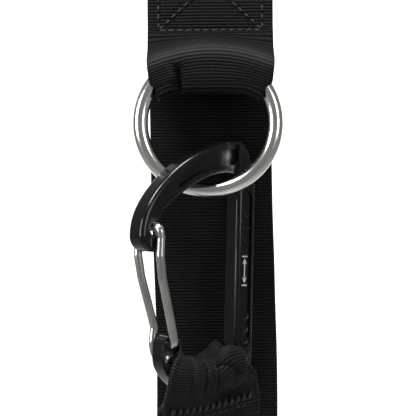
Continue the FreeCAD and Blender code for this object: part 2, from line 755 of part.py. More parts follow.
def sling_side_outline():
    """Side outline of the sling's head and double part, in the plane through the bar."""
    half = size("basket_depth") / 2
    side = half + size("sling_gap") + size("sling_thickness") + size("sling_bulge")
    top = -drop + size("sling_cushion")
    sewn = size("sling_thickness") + size("sling_ply_gap")
    sewn_top = basket_bottom - size("sling_sewn_drop")
    bottom = basket_bottom - size("sling_eye_drop") + size("sling_neck_rise")
    shoulder = size("sling_shoulder")
    return [Vector(-side + shoulder, 0, top), Vector(side - shoulder, 0, top),
            Vector(side, 0, top - shoulder), Vector(side, 0, bar_middle_height),
            Vector(sewn, 0, sewn_top), Vector(sewn, 0, bottom),
            Vector(-sewn, 0, bottom), Vector(-sewn, 0, sewn_top),
            Vector(-side, 0, bar_middle_height), Vector(-side, 0, top - shoulder)]


def sling_front_outline():
    """Front outline: gathered over the basket and spread to the full width below it."""
    middle = -size("sling_middle")
    half_web = size("web_width") / 2
    top = -drop + size("sling_cushion")
    low = basket_bottom - size("sling_eye_drop") + size("sling_neck_rise")
    return [Vector(middle - 11.0, 0, top), Vector(middle + 11.5, 0, top),
            Vector(middle + 13.5, 0, top - 5.0),
            Vector(middle + half_web, 0, basket_bottom - size("sling_sewn_drop")),
            Vector(middle + half_web, 0, low), Vector(middle - half_web, 0, low),
            Vector(middle - half_web, 0, basket_bottom - 1.0),
            Vector(middle - half_web + 1.5, 0, bar_middle_height)]


def sling():
    """Second webbing: gathered over the basket bar, sewn double below it, with a lower eye."""
    thickness = size("sling_thickness")
    middle = -size("sling_middle")
    width = size("web_width")
    side_points = [Vector(-60, point.x, point.z) for point in sling_side_outline()]
    side = Part.Face(Part.Wire(polygon(side_points))).extrude(Vector(120, 0, 0))
    front_points = [Vector(point.x, -30, point.z) for point in sling_front_outline()]
    front = Part.Face(Part.Wire(polygon(front_points))).extrude(Vector(0, 60, 0))
    head = side.common(front)
    for tool in clearance_tools():
        head = head.cut(tool)
    head = max(head.Solids, key=lambda solid: solid.Volume)
    half = thickness / 2
    ply_middle = half + size("ply_gap") / 2
    eye_height = basket_bottom - size("sling_eye_drop")
    neck = Vector(ply_middle, size("sling_neck_rise"), 0)
    lead = Vector(ply_middle, size("sling_neck_rise") + size("sling_lead"), 0)
    route = eye_route(lead, neck, size("sling_eye_radius") + half,
                      [Vector(-lead.x, lead.y, 0)], size("neck_bend"))
    outline = band(route, thickness)
    loop = Part.Face(Part.Wire(outline)).extrude(Vector(0, 0, width))
    loop.transformShape(FreeCAD.Matrix(0, 0, 1, middle - width / 2,
                                       1, 0, 0, 0,
                                       0, 1, 0, eye_height,
                                       0, 0, 0, 1))
    shape = head.fuse(loop).removeSplitter()
    feature = document.addObject("Part::Feature", "sling")
    feature.Label = "sling"
    feature.Shape = shape
    feature.Placement = body_placement
    return feature


def sling_threads():
    """Bar tack under the basket and box stitches on both faces of the sling."""
    middle = -size("sling_middle")
    surface = size("sling_thickness") + size("sling_ply_gap")
    half_web = size("web_width") / 2 - size("seam_margin")
    row = basket_bottom - size("sling_tack_drop")
    tack = zigzag_outlines(middle - half_web, middle + half_web, row,
                           size("tack_pitch"), size("tack_height"))
    thread_feature("sling_bar_tack", thread_solid(tack, -surface, -1), body_placement)
    bottom = row - size("sling_box_below_tack") - size("sling_box_height")
    box = box_outlines(middle, bottom, size("sling_box_width"), size("sling_box_height"))
    thread_feature("sling_box_stitch", thread_solid(box, -surface, -1), body_placement)
    thread_feature("sling_box_bobbin", thread_solid(box, surface, 1), body_placement)


# ---------------------------------------------------------------- build and write
def build():
    """Make every sub-part of the assembly."""
    main_strap()
    ring_tab_sewn()
    ring_tab_loop()
    strap_threads()
    o_ring()
    carabiner_body()
    gate_wire()
    sling()
    sling_threads()
    document.recompute()


def sub_parts():
    """Objects that are written, one file each."""
    bodies = [item for item in document.Objects if item.TypeId == "PartDesign::Body"]
    inside = {member.Name for body in bodies for member in body.Group}
    features = [item for item in document.Objects
                if item.TypeId == "Part::Feature" and item.Name not in inside]
    return bodies + features


def check():
    """Stop if any object failed or any sub-part has no valid shape."""
    for item in document.Objects:
        if "Invalid" in item.State or "Error" in item.State:
            raise ValueError(item.Label + " failed to compute")
    for item in sub_parts():
        if item.Shape.isNull() or not item.Shape.isValid():
            raise ValueError(item.Label + " has no valid shape")


def write():
    """Write each sub-part to a STEP file named after its label."""
    os.makedirs("parts", exist_ok=True)
    for item in sub_parts():
        item.Shape.exportStep(f"parts/{item.Label}.step")
        print(item.Label, len(item.Shape.Solids), "solid", round(item.Shape.Volume, 1))


build()
check()
write()
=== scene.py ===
"""Looks of a sewn webbing strap with its steel ring, wire-gate carabiner and hanging sling."""

import logging
import math
from dataclasses import dataclass, field
from enum import Enum
from typing import Optional, Sequence

import bpy
import numpy as np
from mathutils import Euler, Matrix, Vector


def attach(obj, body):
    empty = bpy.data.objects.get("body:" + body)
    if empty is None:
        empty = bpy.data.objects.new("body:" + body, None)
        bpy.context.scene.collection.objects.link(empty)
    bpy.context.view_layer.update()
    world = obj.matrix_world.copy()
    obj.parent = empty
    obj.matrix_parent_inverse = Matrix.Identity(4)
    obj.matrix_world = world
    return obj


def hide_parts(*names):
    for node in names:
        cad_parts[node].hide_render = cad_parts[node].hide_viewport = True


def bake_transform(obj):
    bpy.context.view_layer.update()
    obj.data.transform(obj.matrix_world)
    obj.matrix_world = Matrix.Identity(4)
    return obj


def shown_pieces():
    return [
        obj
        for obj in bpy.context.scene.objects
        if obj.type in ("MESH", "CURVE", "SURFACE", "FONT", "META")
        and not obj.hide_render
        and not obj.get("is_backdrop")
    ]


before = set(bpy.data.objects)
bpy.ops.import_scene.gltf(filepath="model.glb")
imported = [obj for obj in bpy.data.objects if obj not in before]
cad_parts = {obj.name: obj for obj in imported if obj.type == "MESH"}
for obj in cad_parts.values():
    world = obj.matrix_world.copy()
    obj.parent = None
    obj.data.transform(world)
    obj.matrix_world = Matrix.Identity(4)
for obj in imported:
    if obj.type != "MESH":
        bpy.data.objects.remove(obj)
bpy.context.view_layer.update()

MM = 0.001
STITCH_PITCH = 2.7  # needle spacing of the box stitches, in millimetres
STITCH_GAP = 0.55  # bare length between two stitches
OPEN_GAP = 0.8  # the same on the tab's front and on the sling
WHITE = (1, 1, 1, 1)
log = logging.getLogger("strap")


class Slot(Enum):
    """Material slots of the record."""

    WEBBING = "black_webbing"
    THREAD = "black_thread"
    STEEL = "polished_steel"
    ANODISED = "black_anodised"
    WIRE = "stainless_wire"


class Face(Enum):
    """Side of a webbing or a carabiner face, as the sign of its outward normal."""

    FRONT = -1
    BACK = 1


# ------------------------------------------------------------------ node graphs
@dataclass
class Graph:
    """Thin helper round a material's node tree."""

    material: bpy.types.Material

    @classmethod
    def new(cls, name: str) -> "Graph":
        """Start a material with an empty tree.

        Args:
            name: name of the material.

        Returns:
            The graph, with a principled shader wired to the output.
        """
        material = bpy.data.materials.new(name)
        material.use_nodes = True
        material.node_tree.nodes.clear()
        graph = cls(material)
        out = graph.add("ShaderNodeOutputMaterial")
        shader = graph.add("ShaderNodeBsdfPrincipled")
        shader.name = "shader"
        graph.link(shader.outputs["BSDF"], out.inputs["Surface"])
        return graph

    @property
    def shader(self) -> bpy.types.Node:
        """The principled shader."""
        return self.material.node_tree.nodes["shader"]

    def add(self, kind: str, **settings: object) -> bpy.types.Node:
        """Add a node.

        Args:
            kind: Blender's node type.
            settings: attributes set on the node.

        Returns:
            The new node.
        """
        node = self.material.node_tree.nodes.new(kind)
        for key, value in settings.items():
            setattr(node, key, value)
        return node

    def link(self, source: bpy.types.NodeSocket, target: bpy.types.NodeSocket) -> None:
        """Join two sockets."""
        self.material.node_tree.links.new(source, target)

    def math(self, operation: str, first: object, second: object = None,
             third: object = None) -> bpy.types.NodeSocket:
        """Add a math node; each operand is a socket or a number.

        Args:
            operation: name of the operation.
            first: first operand.
            second: second operand, if any.
            third: third operand, if any.

        Returns:
            The result socket.
        """
        node = self.add("ShaderNodeMath", operation=operation)
        for index, operand in enumerate((first, second, third)):
            if operand is None:
                continue
            if isinstance(operand, bpy.types.NodeSocket):
                self.link(operand, node.inputs[index])
            else:
                node.inputs[index].default_value = operand
        return node.outputs[0]

    def noise(self, coords: bpy.types.NodeSocket, scale: float, detail: float = 2.0,
              rough: float = 0.5) -> bpy.types.NodeSocket:
        """Noise in 0 to 1.

        Args:
            coords: coordinate socket.
            scale: waves per metre.
            detail: octaves.
            rough: share of the finer octaves.

        Returns:
            The noise value socket.
        """
        node = self.add("ShaderNodeTexNoise")
        node.inputs["Scale"].default_value = scale
        node.inputs["Detail"].default_value = detail
        node.inputs["Roughness"].default_value = rough
        self.link(coords, node.inputs["Vector"])
        return node.outputs["Fac"]

    def ramp(self, value: bpy.types.NodeSocket,
             stops: Sequence[tuple[float, Sequence[float]]]) -> bpy.types.NodeSocket:
        """Colour ramp.

        Args:
            value: input in 0 to 1.
            stops: positions with their colours.

        Returns:
            The colour socket.
        """
        node = self.add("ShaderNodeValToRGB")
        elements = node.color_ramp.elements
        while len(elements) < len(stops):
            elements.new(0.5)
        for element, (place, colour) in zip(elements, stops):
            element.position = place
            element.color = (*colour, 1.0)
        self.link(value, node.inputs["Fac"])
        return node.outputs["Color"]

    def spread(self, value: bpy.types.NodeSocket, low: float, high: float) -> bpy.types.NodeSocket:
        """Map 0 to 1 on to a range."""
        return self.math("MULTIPLY_ADD", value, high - low, low)

    def bump(self, height: bpy.types.NodeSocket, distance: float) -> bpy.types.NodeSocket:
        """Bump from a height.

        Args:
            height: height in 0 to 1.
            distance: height of 1, in metres.

        Returns:
            The normal socket.
        """
        node = self.add("ShaderNodeBump")
        node.inputs["Distance"].default_value = distance
        node.inputs["Strength"].default_value = 1.0
        self.link(height, node.inputs["Height"])
        return node.outputs["Normal"]


# ------------------------------------------------------------------ finishes
@dataclass(frozen=True)
class WebbingFinish:
    """Woven nylon webbing: weft ribs across, fine warp yarns along, a little lint."""

    name: str
    rib_pitch: float = 1.05
    yarn_pitch: float = 0.62
    relief: float = 0.4
    # dark is the painted shade in the weave's valleys; light is the rib tops' colour, raised further as a
    # painted highlight
    dark: float = 0.0006
    light: float = 0.0072
    roughness: float = 0.5
    sheen: float = 0.01
    # crest: height of the fold's crest that gets a painted highlight, or None for none
    crest: float | None = None

    def build(self) -> bpy.types.Material:
        """Make the material. Its pattern follows the cloth's own UV, in metres.

        Returns:
            The material.
        """
        g = Graph.new(self.name)
        coords = g.add("ShaderNodeTexCoord")
        split = g.add("ShaderNodeSeparateXYZ")
        g.link(coords.outputs["UV"], split.inputs[0])
        wobble = g.noise(coords.outputs["Object"], 160.0, 3.0)
        across = g.math("MULTIPLY", split.outputs[0], 1.0 / MM)
        along = g.math("MULTIPLY_ADD", split.outputs[1], 1.0 / MM, g.math("MULTIPLY", wobble, 0.35))
        rib_turns = g.math("DIVIDE", along, self.rib_pitch)
        rib_wave = g.math("ABSOLUTE", g.math("SINE", g.math("MULTIPLY", rib_turns, math.pi)))
        rib = g.math("POWER", rib_wave, 1.1)
        odd = g.math("MODULO", g.math("FLOOR", rib_turns), 2.0)
        yarn_turns = g.math("MULTIPLY_ADD", odd, 0.5, g.math("DIVIDE", across, self.yarn_pitch))
        yarn = g.math("ABSOLUTE", g.math("SINE", g.math("MULTIPLY", yarn_turns, math.pi)))
        fibre = g.noise(coords.outputs["Object"], 5200.0, 3.0, 0.6)
        weave = g.math("MULTIPLY", rib, g.spread(yarn, 0.62, 1.0))
        height = g.math("ADD", weave, g.math("MULTIPLY", fibre, 0.22))
        normal = g.bump(height, self.relief * MM)
        patches = g.noise(coords.outputs["Object"], 55.0, 4.0, 0.6)
        # colour follows the weave's height: painted shade in the valleys between ribs, painted highlight on
        # the rib tops, mixed with random patchy tone
        tone = g.math("MULTIPLY_ADD", weave, 0.72, g.math("MULTIPLY", patches, 0.28))
        dark, light = self.dark, self.light
        colour = g.ramp(tone, [(0.2, (dark, dark, dark)), (0.62, (light, light, light * 1.01)),
                               (0.9, (light * 1.9, light * 1.88, light * 1.84))])
        specks = g.noise(coords.outputs["Object"], 1500.0, 1.0)
        lint = g.ramp(specks, [(0.74, (0, 0, 0)), (0.8, (0.02, 0.02, 0.02))])
        # painted highlight along the fold's crest
        if self.crest is not None:
            colour = self.painted_crest_highlight(g, coords, fibre, colour)
        mix = g.add("ShaderNodeMix", data_type="RGBA", blend_type="ADD")
        mix.inputs[0].default_value = 0.6
        g.link(colour, mix.inputs[6])
        g.link(lint, mix.inputs[7])
        g.link(mix.outputs[2], g.shader.inputs["Base Color"])
        g.link(g.spread(fibre, self.roughness - 0.1, self.roughness + 0.16), g.shader.inputs["Roughness"])
        g.shader.inputs["Specular IOR Level"].default_value = 0.08
        g.shader.inputs["Sheen Weight"].default_value = self.sheen
        g.shader.inputs["Sheen Roughness"].default_value = 0.42
        g.shader.inputs["Sheen Tint"].default_value = (0.8, 0.82, 0.86, 1.0)
        g.link(normal, g.shader.inputs["Normal"])
        return g.material

    def painted_crest_highlight(self, g: Graph, coords: bpy.types.Node, fibre: bpy.types.NodeSocket,
               colour: bpy.types.NodeSocket) -> bpy.types.NodeSocket:
        """Painted highlight: paler colour along the bowed crest of a fold, where the light from above falls
        on it.

        Args:
            g: the material's nodes.
            coords: texture coordinates.
            fibre: fine noise that breaks up the painted highlight.
            colour: the cloth's own colour.

        Returns:
            The colour with the painted highlight along the crest.
        """
        place = g.add("ShaderNodeSeparateXYZ")
        g.link(coords.outputs["Object"], place.inputs[0])
        bow = g.math("MULTIPLY", g.math("POWER", g.math("ABSOLUTE", place.outputs[0]), 2.0), 11.0)
        off = g.math("DIVIDE", g.math("SUBTRACT", g.math("ADD", place.outputs[2], bow), self.crest), 2.1 * MM)
        bell = g.math("POWER", math.e, g.math("MULTIPLY", g.math("MULTIPLY", off, off), -1.0))
        forward = g.math("GREATER_THAN", g.math("MULTIPLY", place.outputs[1], -1.0), 6.0 * MM)
        share = g.math("MULTIPLY", g.math("MULTIPLY", bell, forward), g.spread(fibre, 0.2, 1.0))
        mix = g.add("ShaderNodeMix", data_type="RGBA")
        g.link(share, mix.inputs[0])
        g.link(colour, mix.inputs[6])
        mix.inputs[7].default_value = (0.05, 0.05, 0.05, 1.0)
        return mix.outputs[2]


@dataclass(frozen=True)
class ThreadFinish:
    """Bonded sewing thread: a twist along each stitch, a waxy gloss."""

    name: str = "bonded_thread"
    colour: float = 0.0075
    twist_pitch: float = 0.5

    def build(self) -> bpy.types.Material:
        """Make the material.

        Returns:
            The material.
        """
        g = Graph.new(self.name)
        coords = g.add("ShaderNodeTexCoord")
        split = g.add("ShaderNodeSeparateXYZ")
        g.link(coords.outputs["UV"], split.inputs[0])
        turns = g.math("MULTIPLY_ADD", split.outputs[1], 1.0 / (self.twist_pitch * MM),
                       g.math("MULTIPLY", split.outputs[0], 2.0))
        twist = g.math("ABSOLUTE", g.math("SINE", g.math("MULTIPLY", turns, math.pi)))
        fibre = g.noise(coords.outputs["Object"], 6000.0, 2.0)
        height = g.math("ADD", twist, g.math("MULTIPLY", fibre, 0.3))
        c = self.colour
        # painted shade in the grooves of the twist, lighter on its crowns
        colour = g.ramp(twist, [(0.0, (c * 0.4, c * 0.4, c * 0.4)), (1.0, (c * 1.6, c * 1.6, c * 1.65))])
        g.link(colour, g.shader.inputs["Base Color"])
        g.link(g.spread(fibre, 0.36, 0.55), g.shader.inputs["Roughness"])
        g.shader.inputs["Sheen Weight"].default_value = 0.1
        g.link(g.bump(height, 0.08 * MM), g.shader.inputs["Normal"])
        return g.material


@dataclass(frozen=True)
class SteelFinish:
    """Polished or drawn steel with fine handling scratches."""

    name: str
    colour: tuple[float, float, float]
    roughness: float
    scratch: float
    stretch: tuple[float, float, float] = (1.0, 1.0, 1.0)

    def build(self) -> bpy.types.Material:
        """Make the material.

        Returns:
            The material.
        """
        g = Graph.new(self.name)
        coords = g.add("ShaderNodeTexCoord")
        mapping = g.add("ShaderNodeMapping")
        mapping.inputs["Scale"].default_value = self.stretch
        g.link(coords.outputs["Object"], mapping.inputs["Vector"])
        fine = g.noise(mapping.outputs["Vector"], 2600.0, 4.0, 0.65)
        cloud = g.noise(coords.outputs["Object"], 140.0, 3.0)
        red, green, blue = self.colour
        colour = g.ramp(cloud, [(0.3, (red * 0.86, green * 0.85, blue * 0.83)), (0.7, (red, green, blue))])
        g.link(colour, g.shader.inputs["Base Color"])
        mixed = g.math("MULTIPLY", g.math("ADD", fine, cloud), 0.5)
        g.link(g.spread(mixed, self.roughness * 0.6, self.roughness * 1.5), g.shader.inputs["Roughness"])
        g.shader.inputs["Metallic"].default_value = 1.0
        g.link(g.bump(fine, self.scratch * MM), g.shader.inputs["Normal"])
        return g.material


@dataclass(frozen=True)
class AnodisedFinish:
    """Black glossy anodising on forged aluminium, rubbed a little on its edges; the paler edges are also a
    painted highlight along the rims.
    """

    name: str = "black_anodising"
    roughness: float = 0.16

    def build(self) -> bpy.types.Material:
        """Make the material.

        Returns:
            The material.
        """
        g = Graph.new(self.name)
        coords = g.add("ShaderNodeTexCoord")
        geometry = g.add("ShaderNodeNewGeometry")
        grain = g.noise(coords.outputs["Object"], 3200.0, 3.0, 0.6)
        cloud = g.noise(coords.outputs["Object"], 210.0, 4.0, 0.6)
        # paler colour on sharp edges: partly wear, partly a painted highlight along the rims
        edge_wear_and_highlight = g.math("MULTIPLY", geometry.outputs["Pointiness"], g.spread(cloud, 0.85, 1.12))
        colour = g.ramp(edge_wear_and_highlight, [(0.50, (0.003, 0.0033, 0.0045)), (0.56, (0.008, 0.0085, 0.011)),
                               (0.66, (0.12, 0.12, 0.125))])
        g.link(colour, g.shader.inputs["Base Color"])
        g.link(g.spread(cloud, self.roughness * 0.7, self.roughness * 1.5), g.shader.inputs["Roughness"])
        g.shader.inputs["Specular IOR Level"].default_value = 0.36
        g.shader.inputs["Coat Weight"].default_value = 0.1
        g.shader.inputs["Coat Roughness"].default_value = 0.08
        g.link(g.bump(grain, 0.004 * MM), g.shader.inputs["Normal"])
        return g.material


@dataclass(frozen=True)
class InkFinish:
    """White pad-printed ink, thin and slightly speckled."""

    name: str = "white_print"

    def build(self) -> bpy.types.Material:
        """Make the material.

        Returns:
            The material.
        """
        g = Graph.new(self.name)
        coords = g.add("ShaderNodeTexCoord")
        speckle = g.noise(coords.outputs["Object"], 5200.0, 2.0)
        colour = g.ramp(speckle, [(0.3, (0.5, 0.5, 0.5)), (0.55, (0.82, 0.82, 0.81))])
        g.link(colour, g.shader.inputs["Base Color"])
        g.link(g.spread(speckle, 0.35, 0.6), g.shader.inputs["Roughness"])
        g.link(g.bump(speckle, 0.01 * MM), g.shader.inputs["Normal"])
        return g.material


@dataclass(frozen=True)
class PaperFinish:
    """Seamless pale studio paper."""

    name: str
    tone: float

    def build(self) -> bpy.types.Material:
        """Make the material.

        Returns:
            The material.
        """
        g = Graph.new(self.name)
        coords = g.add("ShaderNodeTexCoord")
        fibre = g.noise(coords.outputs["Object"], 600.0, 3.0)
        t = self.tone
        g.link(g.ramp(fibre, [(0.2, (t * 0.985,) * 3), (0.8, (t,) * 3)]), g.shader.inputs["Base Color"])
        g.shader.inputs["Roughness"].default_value = 0.9
        return g.material


# ------------------------------------------------------------------ mesh helpers
def grid_faces(rings: int, sides: int, start: int = 0, wrap: bool = False,
               flip: bool = False) -> list[tuple[int, ...]]:
    """Quads between neighbouring rings of vertices, numbered ring by ring.

    Args:
        rings: number of rings.
        sides: vertices in each ring.
        start: number of the first vertex.
        wrap: whether the last vertex of a ring joins its first.
        flip: whether the quads face the other way.

    Returns:
        The quads.
    """
    quads = []
    for ring in range(rings - 1):
        for k in range(sides if wrap else sides - 1):
            a = start + ring * sides + k
            b = start + ring * sides + (k + 1) % sides
            quads.append((a, b, b + sides, a + sides))
    return [quad[::-1] for quad in quads] if flip else quads


def new_object(name: str, points: np.ndarray, faces: Sequence[Sequence[int]], uv: Optional[np.ndarray],
               material: bpy.types.Material) -> bpy.types.Object:
    """Link a smooth-shaded mesh object.

    Args:
        name: piece name.
        points: vertices in metres.
        faces: vertex indices of each face.
        uv: one UV pair for each vertex, in metres, or None.
        material: its finish.

    Returns:
        The object, linked to the scene.
    """
    mesh = bpy.data.meshes.new(name)
    mesh.from_pydata([tuple(p) for p in points], [], [tuple(f) for f in faces])
    mesh.validate()
    mesh.polygons.foreach_set("use_smooth", [True] * len(mesh.polygons))
    if uv is not None:
        layer = mesh.uv_layers.new(name="UVMap")
        corners = np.zeros(len(mesh.loops), dtype=np.int64)
        mesh.loops.foreach_get("vertex_index", corners)
        layer.data.foreach_set("uv", uv[corners].astype(np.float32).ravel())
    mesh.materials.append(material)
    obj = bpy.data.objects.new(name, mesh)
    bpy.context.scene.collection.objects.link(obj)
    return obj


def smooth_rows(control: np.ndarray, step: float, closed: bool = False) -> np.ndarray:
    """Catmull-Rom rows through rows of control points, evenly spaced along the middle column.

    Args:
        control: control rows, shape (rows, columns, 3), in millimetres.
        step: spacing of the new rows.
        closed: whether the last row runs on into the first.

    Returns:
        The dense rows.
    """
    if closed:
        padded = np.concatenate([control[-1:], control, control[:2]])
    else:
        padded = np.concatenate([2 * control[:1] - control[1:2], control, 2 * control[-1:] - control[-2:-1]])
    dense = []
    fine = np.linspace(0.0, 1.0, 25)[:-1].reshape(-1, 1, 1)
    for i in range(1, len(padded) - 2):
        a, b, c, d = padded[i - 1], padded[i], padded[i + 1], padded[i + 2]
        dense.append(0.5 * (2 * b + (c - a) * fine + (2 * a - 5 * b + 4 * c - d) * fine ** 2
                            + (3 * b - a - 3 * c + d) * fine ** 3))
    rows = np.concatenate(dense + ([] if closed else [control[-1:]]))
    if closed:
        rows = np.concatenate([rows, rows[:1]])
    middle = rows[:, rows.shape[1] // 2]
    gone = np.concatenate([[0.0], np.cumsum(np.linalg.norm(np.diff(middle, axis=0), axis=1))])
    count = max(4, int(round(gone[-1] / step)))
    wanted = np.linspace(0.0, gone[-1], count + 1)
    index = np.clip(np.searchsorted(gone, wanted, side="right") - 1, 0, len(gone) - 2)
    share = ((wanted - gone[index]) / np.maximum(gone[index + 1] - gone[index], 1e-9)).reshape(-1, 1, 1)
    even = rows[index] * (1 - share) + rows[index + 1] * share
    return even[:-1] if closed else even


def columns_across(count: int, width: float) -> np.ndarray:
    """Places across a webbing, with extra ones at its rounded selvedges.

    Args:
        count: number of even places.
        width: width of the webbing, in millimetres.

    Returns:
        Places from -1 to 1.
    """
    edge = np.array([0.0, 0.12, 0.34, 0.7]) / (width / 2)
    inner = np.linspace(-1 + 1.3 / (width / 2), 1 - 1.3 / (width / 2), count)
    return np.concatenate([-1 + edge, inner, (1 - edge)[::-1]])


@dataclass
class Ribbon:
    """A webbing solid built round a grid of points on its middle surface, in millimetres."""

    name: str
    rows: np.ndarray
    across: np.ndarray
    width: float
    thickness: float
    closed: bool = False
    rib_pitch: float = 1.05
    relief: float = 0.05
    dent: Optional[np.ndarray] = None
    along: np.ndarray = field(init=False)
    normals: np.ndarray = field(init=False)

    def __post_init__(self) -> None:
        """Work out the length along the webbing and the normals of its middle surface."""
        middle = self.rows[:, self.rows.shape[1] // 2]
        steps = np.linalg.norm(np.diff(middle, axis=0), axis=1)
        self.along = np.concatenate([[0.0], np.cumsum(steps)])
        if self.closed:
            wide = np.concatenate([self.rows[-2:], self.rows, self.rows[:2]])
            down = np.gradient(wide, axis=0)[2:-2]
        else:
            down = np.gradient(self.rows, axis=0)
        side = np.gradient(self.rows, axis=1)
        normal = np.cross(side, down)
        self.normals = normal / np.maximum(np.linalg.norm(normal, axis=2, keepdims=True), 1e-9)

    def half_thickness(self) -> np.ndarray:
        """Half thickness at each column: full in the middle, round at the selvedges.

        Returns:
            Half thicknesses, in millimetres.
        """
        edge = (1 - np.abs(self.across)) * self.width / 2
        inward = np.clip(edge / 0.75, 0, 1)
        return self.thickness / 2 * np.sqrt(np.clip(1 - (1 - inward) ** 2, 0, 1)) + 0.02

    def surface(self, face: Face) -> np.ndarray:
        """Points of one surface, with ribs and dents.

        Args:
            face: side of the webbing.

        Returns:
            Points, row by row, in millimetres.
        """
        half = self.half_thickness()[None, :, None]
        ribs = np.abs(np.sin(np.pi * self.along / self.rib_pitch))[:, None, None] ** 0.7 * self.relief
        deep = 0.0 if self.dent is None else self.dent[:, :, None]
        inward = np.clip((1 - np.abs(self.across)) * self.width / 2, 0, 1)[None, :, None]
        offset = half - self.relief * inward + ribs * inward - deep * inward
        return self.rows + self.normals * offset * face.value

    def build(self, material: bpy.types.Material, slot: Slot) -> bpy.types.Object:
        """Make the closed mesh.

        Args:
            material: the webbing's finish.
            slot: its record slot; not used.

        Returns:
            The object.
        """
        front, back = self.surface(Face.FRONT), self.surface(Face.BACK)
        count, wide = self.rows.shape[:2]
        points = np.concatenate([front.reshape(-1, 3), back.reshape(-1, 3)]) * MM
        u = np.broadcast_to(self.across * self.width / 2, (count, wide))
        v = np.broadcast_to(self.along[:, None], (count, wide))
        uv = np.stack([u, v], axis=-1).reshape(-1, 2) * MM
        uv = np.concatenate([uv, uv])
        shift = count * wide
        faces = []
        last = count if self.closed else count - 1
        for i in range(last):
            j = (i + 1) % count
            for k in range(wide - 1):
                a, b, c, d = i * wide + k, i * wide + k + 1, j * wide + k + 1, j * wide + k
                faces.append((d, c, b, a))
                faces.append((a + shift, b + shift, c + shift, d + shift))
            for k in (0, wide - 1):
                a, d = i * wide + k, j * wide + k
                quad = (a, a + shift, d + shift, d)
                faces.append(quad if k else quad[::-1])
        if not self.closed:
            for i in (0, count - 1):
                for k in range(wide - 1):
                    a, b = i * wide + k, i * wide + k + 1
                    quad = (a, b, b + shift, a + shift)
                    faces.append(quad if i else quad[::-1])
        obj = new_object(self.name, points, faces, uv, material)
        return obj

    def spot(self, across: float, row: float, face: Face) -> tuple[Vector, Vector, Vector]:
        """A place on one surface.

        Args:
            across: millimetres from the webbing's middle.
            row: row number, fractions allowed.
            face: which surface.

        Returns:
            Its point, its direction along the webbing and its outward normal.
        """
        i = int(np.clip(row, 0, len(self.rows) - 2))
        part = row - i
        k = float(np.interp(across / (self.width / 2), self.across, np.arange(len(self.across))))
        n = int(np.clip(k, 0, len(self.across) - 2))
        q = k - n
        grid = self.rows
        here = ((grid[i, n] * (1 - q) + grid[i, n + 1] * q) * (1 - part)
                + (grid[i + 1, n] * (1 - q) + grid[i + 1, n + 1] * q) * part)
        normal = Vector(self.normals[i, n]) * face.value
        forward = Vector(grid[i + 1, n] - grid[i, n]).normalized()
        return Vector(here) + normal * (self.thickness / 2), forward, normal


@dataclass
class StitchSet:
    """Stitches of one seam as small twisted bars of thread, sunk at both ends."""

    name: str
    width: float = 0.62
    height: float = 0.34
    bars: list[tuple[Vector, Vector, Vector]] = field(default_factory=list)

    def bar(self, start: Vector, end: Vector, normal: Vector) -> None:
        """Add one stitch.

        Args:
            start: first end, in millimetres.
            end: last end, in millimetres.
            normal: outward side.
        """
        self.bars.append((start, end, normal))

    def box(self, seams: Sequence[tuple], level: float, face: Face, gap: float = STITCH_GAP,
            matrix: Matrix = Matrix.Identity(4)) -> None:
        """Add the runs of a box stitch.

        Args:
            seams: straight seams as pairs of (x, z), in millimetres.
            level: depth of the stitches.
            face: side that they show on.
            gap: bare length between two stitches.
            matrix: transform to the row frame.
        """
        normal = matrix.to_3x3() @ Vector((0, face.value, 0))
        for (ax, az), (bx, bz) in seams:
            self.run(matrix @ Vector((ax, level, az)), matrix @ Vector((bx, level, bz)), normal,
                     STITCH_PITCH, gap)

    def run(self, start: Vector, end: Vector, normal: Vector, pitch: float, gap: float) -> None:
        """Add a straight run of stitches.

        Args:
            start: first end.
            end: last end.
            normal: outward side.
            pitch: needle spacing.
            gap: bare length between two stitches.
        """
        count = max(1, round((end - start).length / pitch))
        step = (end - start) / count
        for number in range(count):
            a = start + step * number
            b = a + step
            inset = step.normalized() * gap / 2
            self.bar(a + inset, b - inset, normal)

    def build(self, material: bpy.types.Material) -> bpy.types.Object:
        """Make all stitches as one mesh.

        Args:
            material: thread finish.

        Returns:
            The object.
        """
        rings, sides = 7, 8
        points, faces, uv = [], [], []
        for start, end, normal in self.bars:
            along = end - start
            side = along.normalized().cross(normal).normalized()
            base = len(points)
            for i in range(rings):
                t = i / (rings - 1)
                swell = math.sin(math.pi * (0.06 + 0.88 * t)) ** 0.45
                middle = start + along * t + normal * (self.height * (swell - 0.55) * 0.9)
                for k in range(sides):
                    angle = 2 * math.pi * k / sides
                    points.append((middle + side * (math.cos(angle) * self.width / 2 * swell)
                                   + normal * (math.sin(angle) * self.height * 0.75 * swell)) * MM)
                    uv.append((k / sides, along.length * t * MM))
            faces += grid_faces(rings, sides, base, wrap=True)
            faces.append(tuple(base + k for k in reversed(range(sides))))
            faces.append(tuple(base + (rings - 1) * sides + k for k in range(sides)))
        obj = new_object(self.name, np.array(points), faces, np.array(uv), material)
        return obj


def box_lines(left: float, bottom: float, right: float, top: float) -> list[tuple[tuple[float, float], ...]]:
    """Straight seams of a box with a cross in it.

    Args:
        left: left side.
        bottom: lower side.
        right: right side.
        top: upper side.

    Returns:
        The two ends of each seam.
    """
    return [((left, bottom), (right, bottom)), ((right, bottom), (right, top)),
            ((right, top), (left, top)), ((left, top), (left, bottom)),
            ((left, bottom), (right, top)), ((left, top), (right, bottom))]


def groove(x: np.ndarray, y: np.ndarray, lines: Sequence[tuple], depth: float, spread: float) -> np.ndarray:
    """Depth of the furrow that seams pull into the cloth.

    Args:
        x: first coordinate of each place.
        y: second coordinate of each place.
        lines: seams, as pairs of points.
        depth: depth on the seam.
        spread: how wide the furrow is.

    Returns:
        The depth at each place.
    """
    deep = np.zeros_like(x)
    for (ax, ay), (bx, by) in lines:
        length = math.hypot(bx - ax, by - ay)
        t = np.clip(((x - ax) * (bx - ax) + (y - ay) * (by - ay)) / length ** 2, 0, 1)
        away = np.hypot(x - ax - t * (bx - ax), y - ay - t * (by - ay))
        deep = np.maximum(deep, depth * np.exp(-(away / spread) ** 2))
    return deep


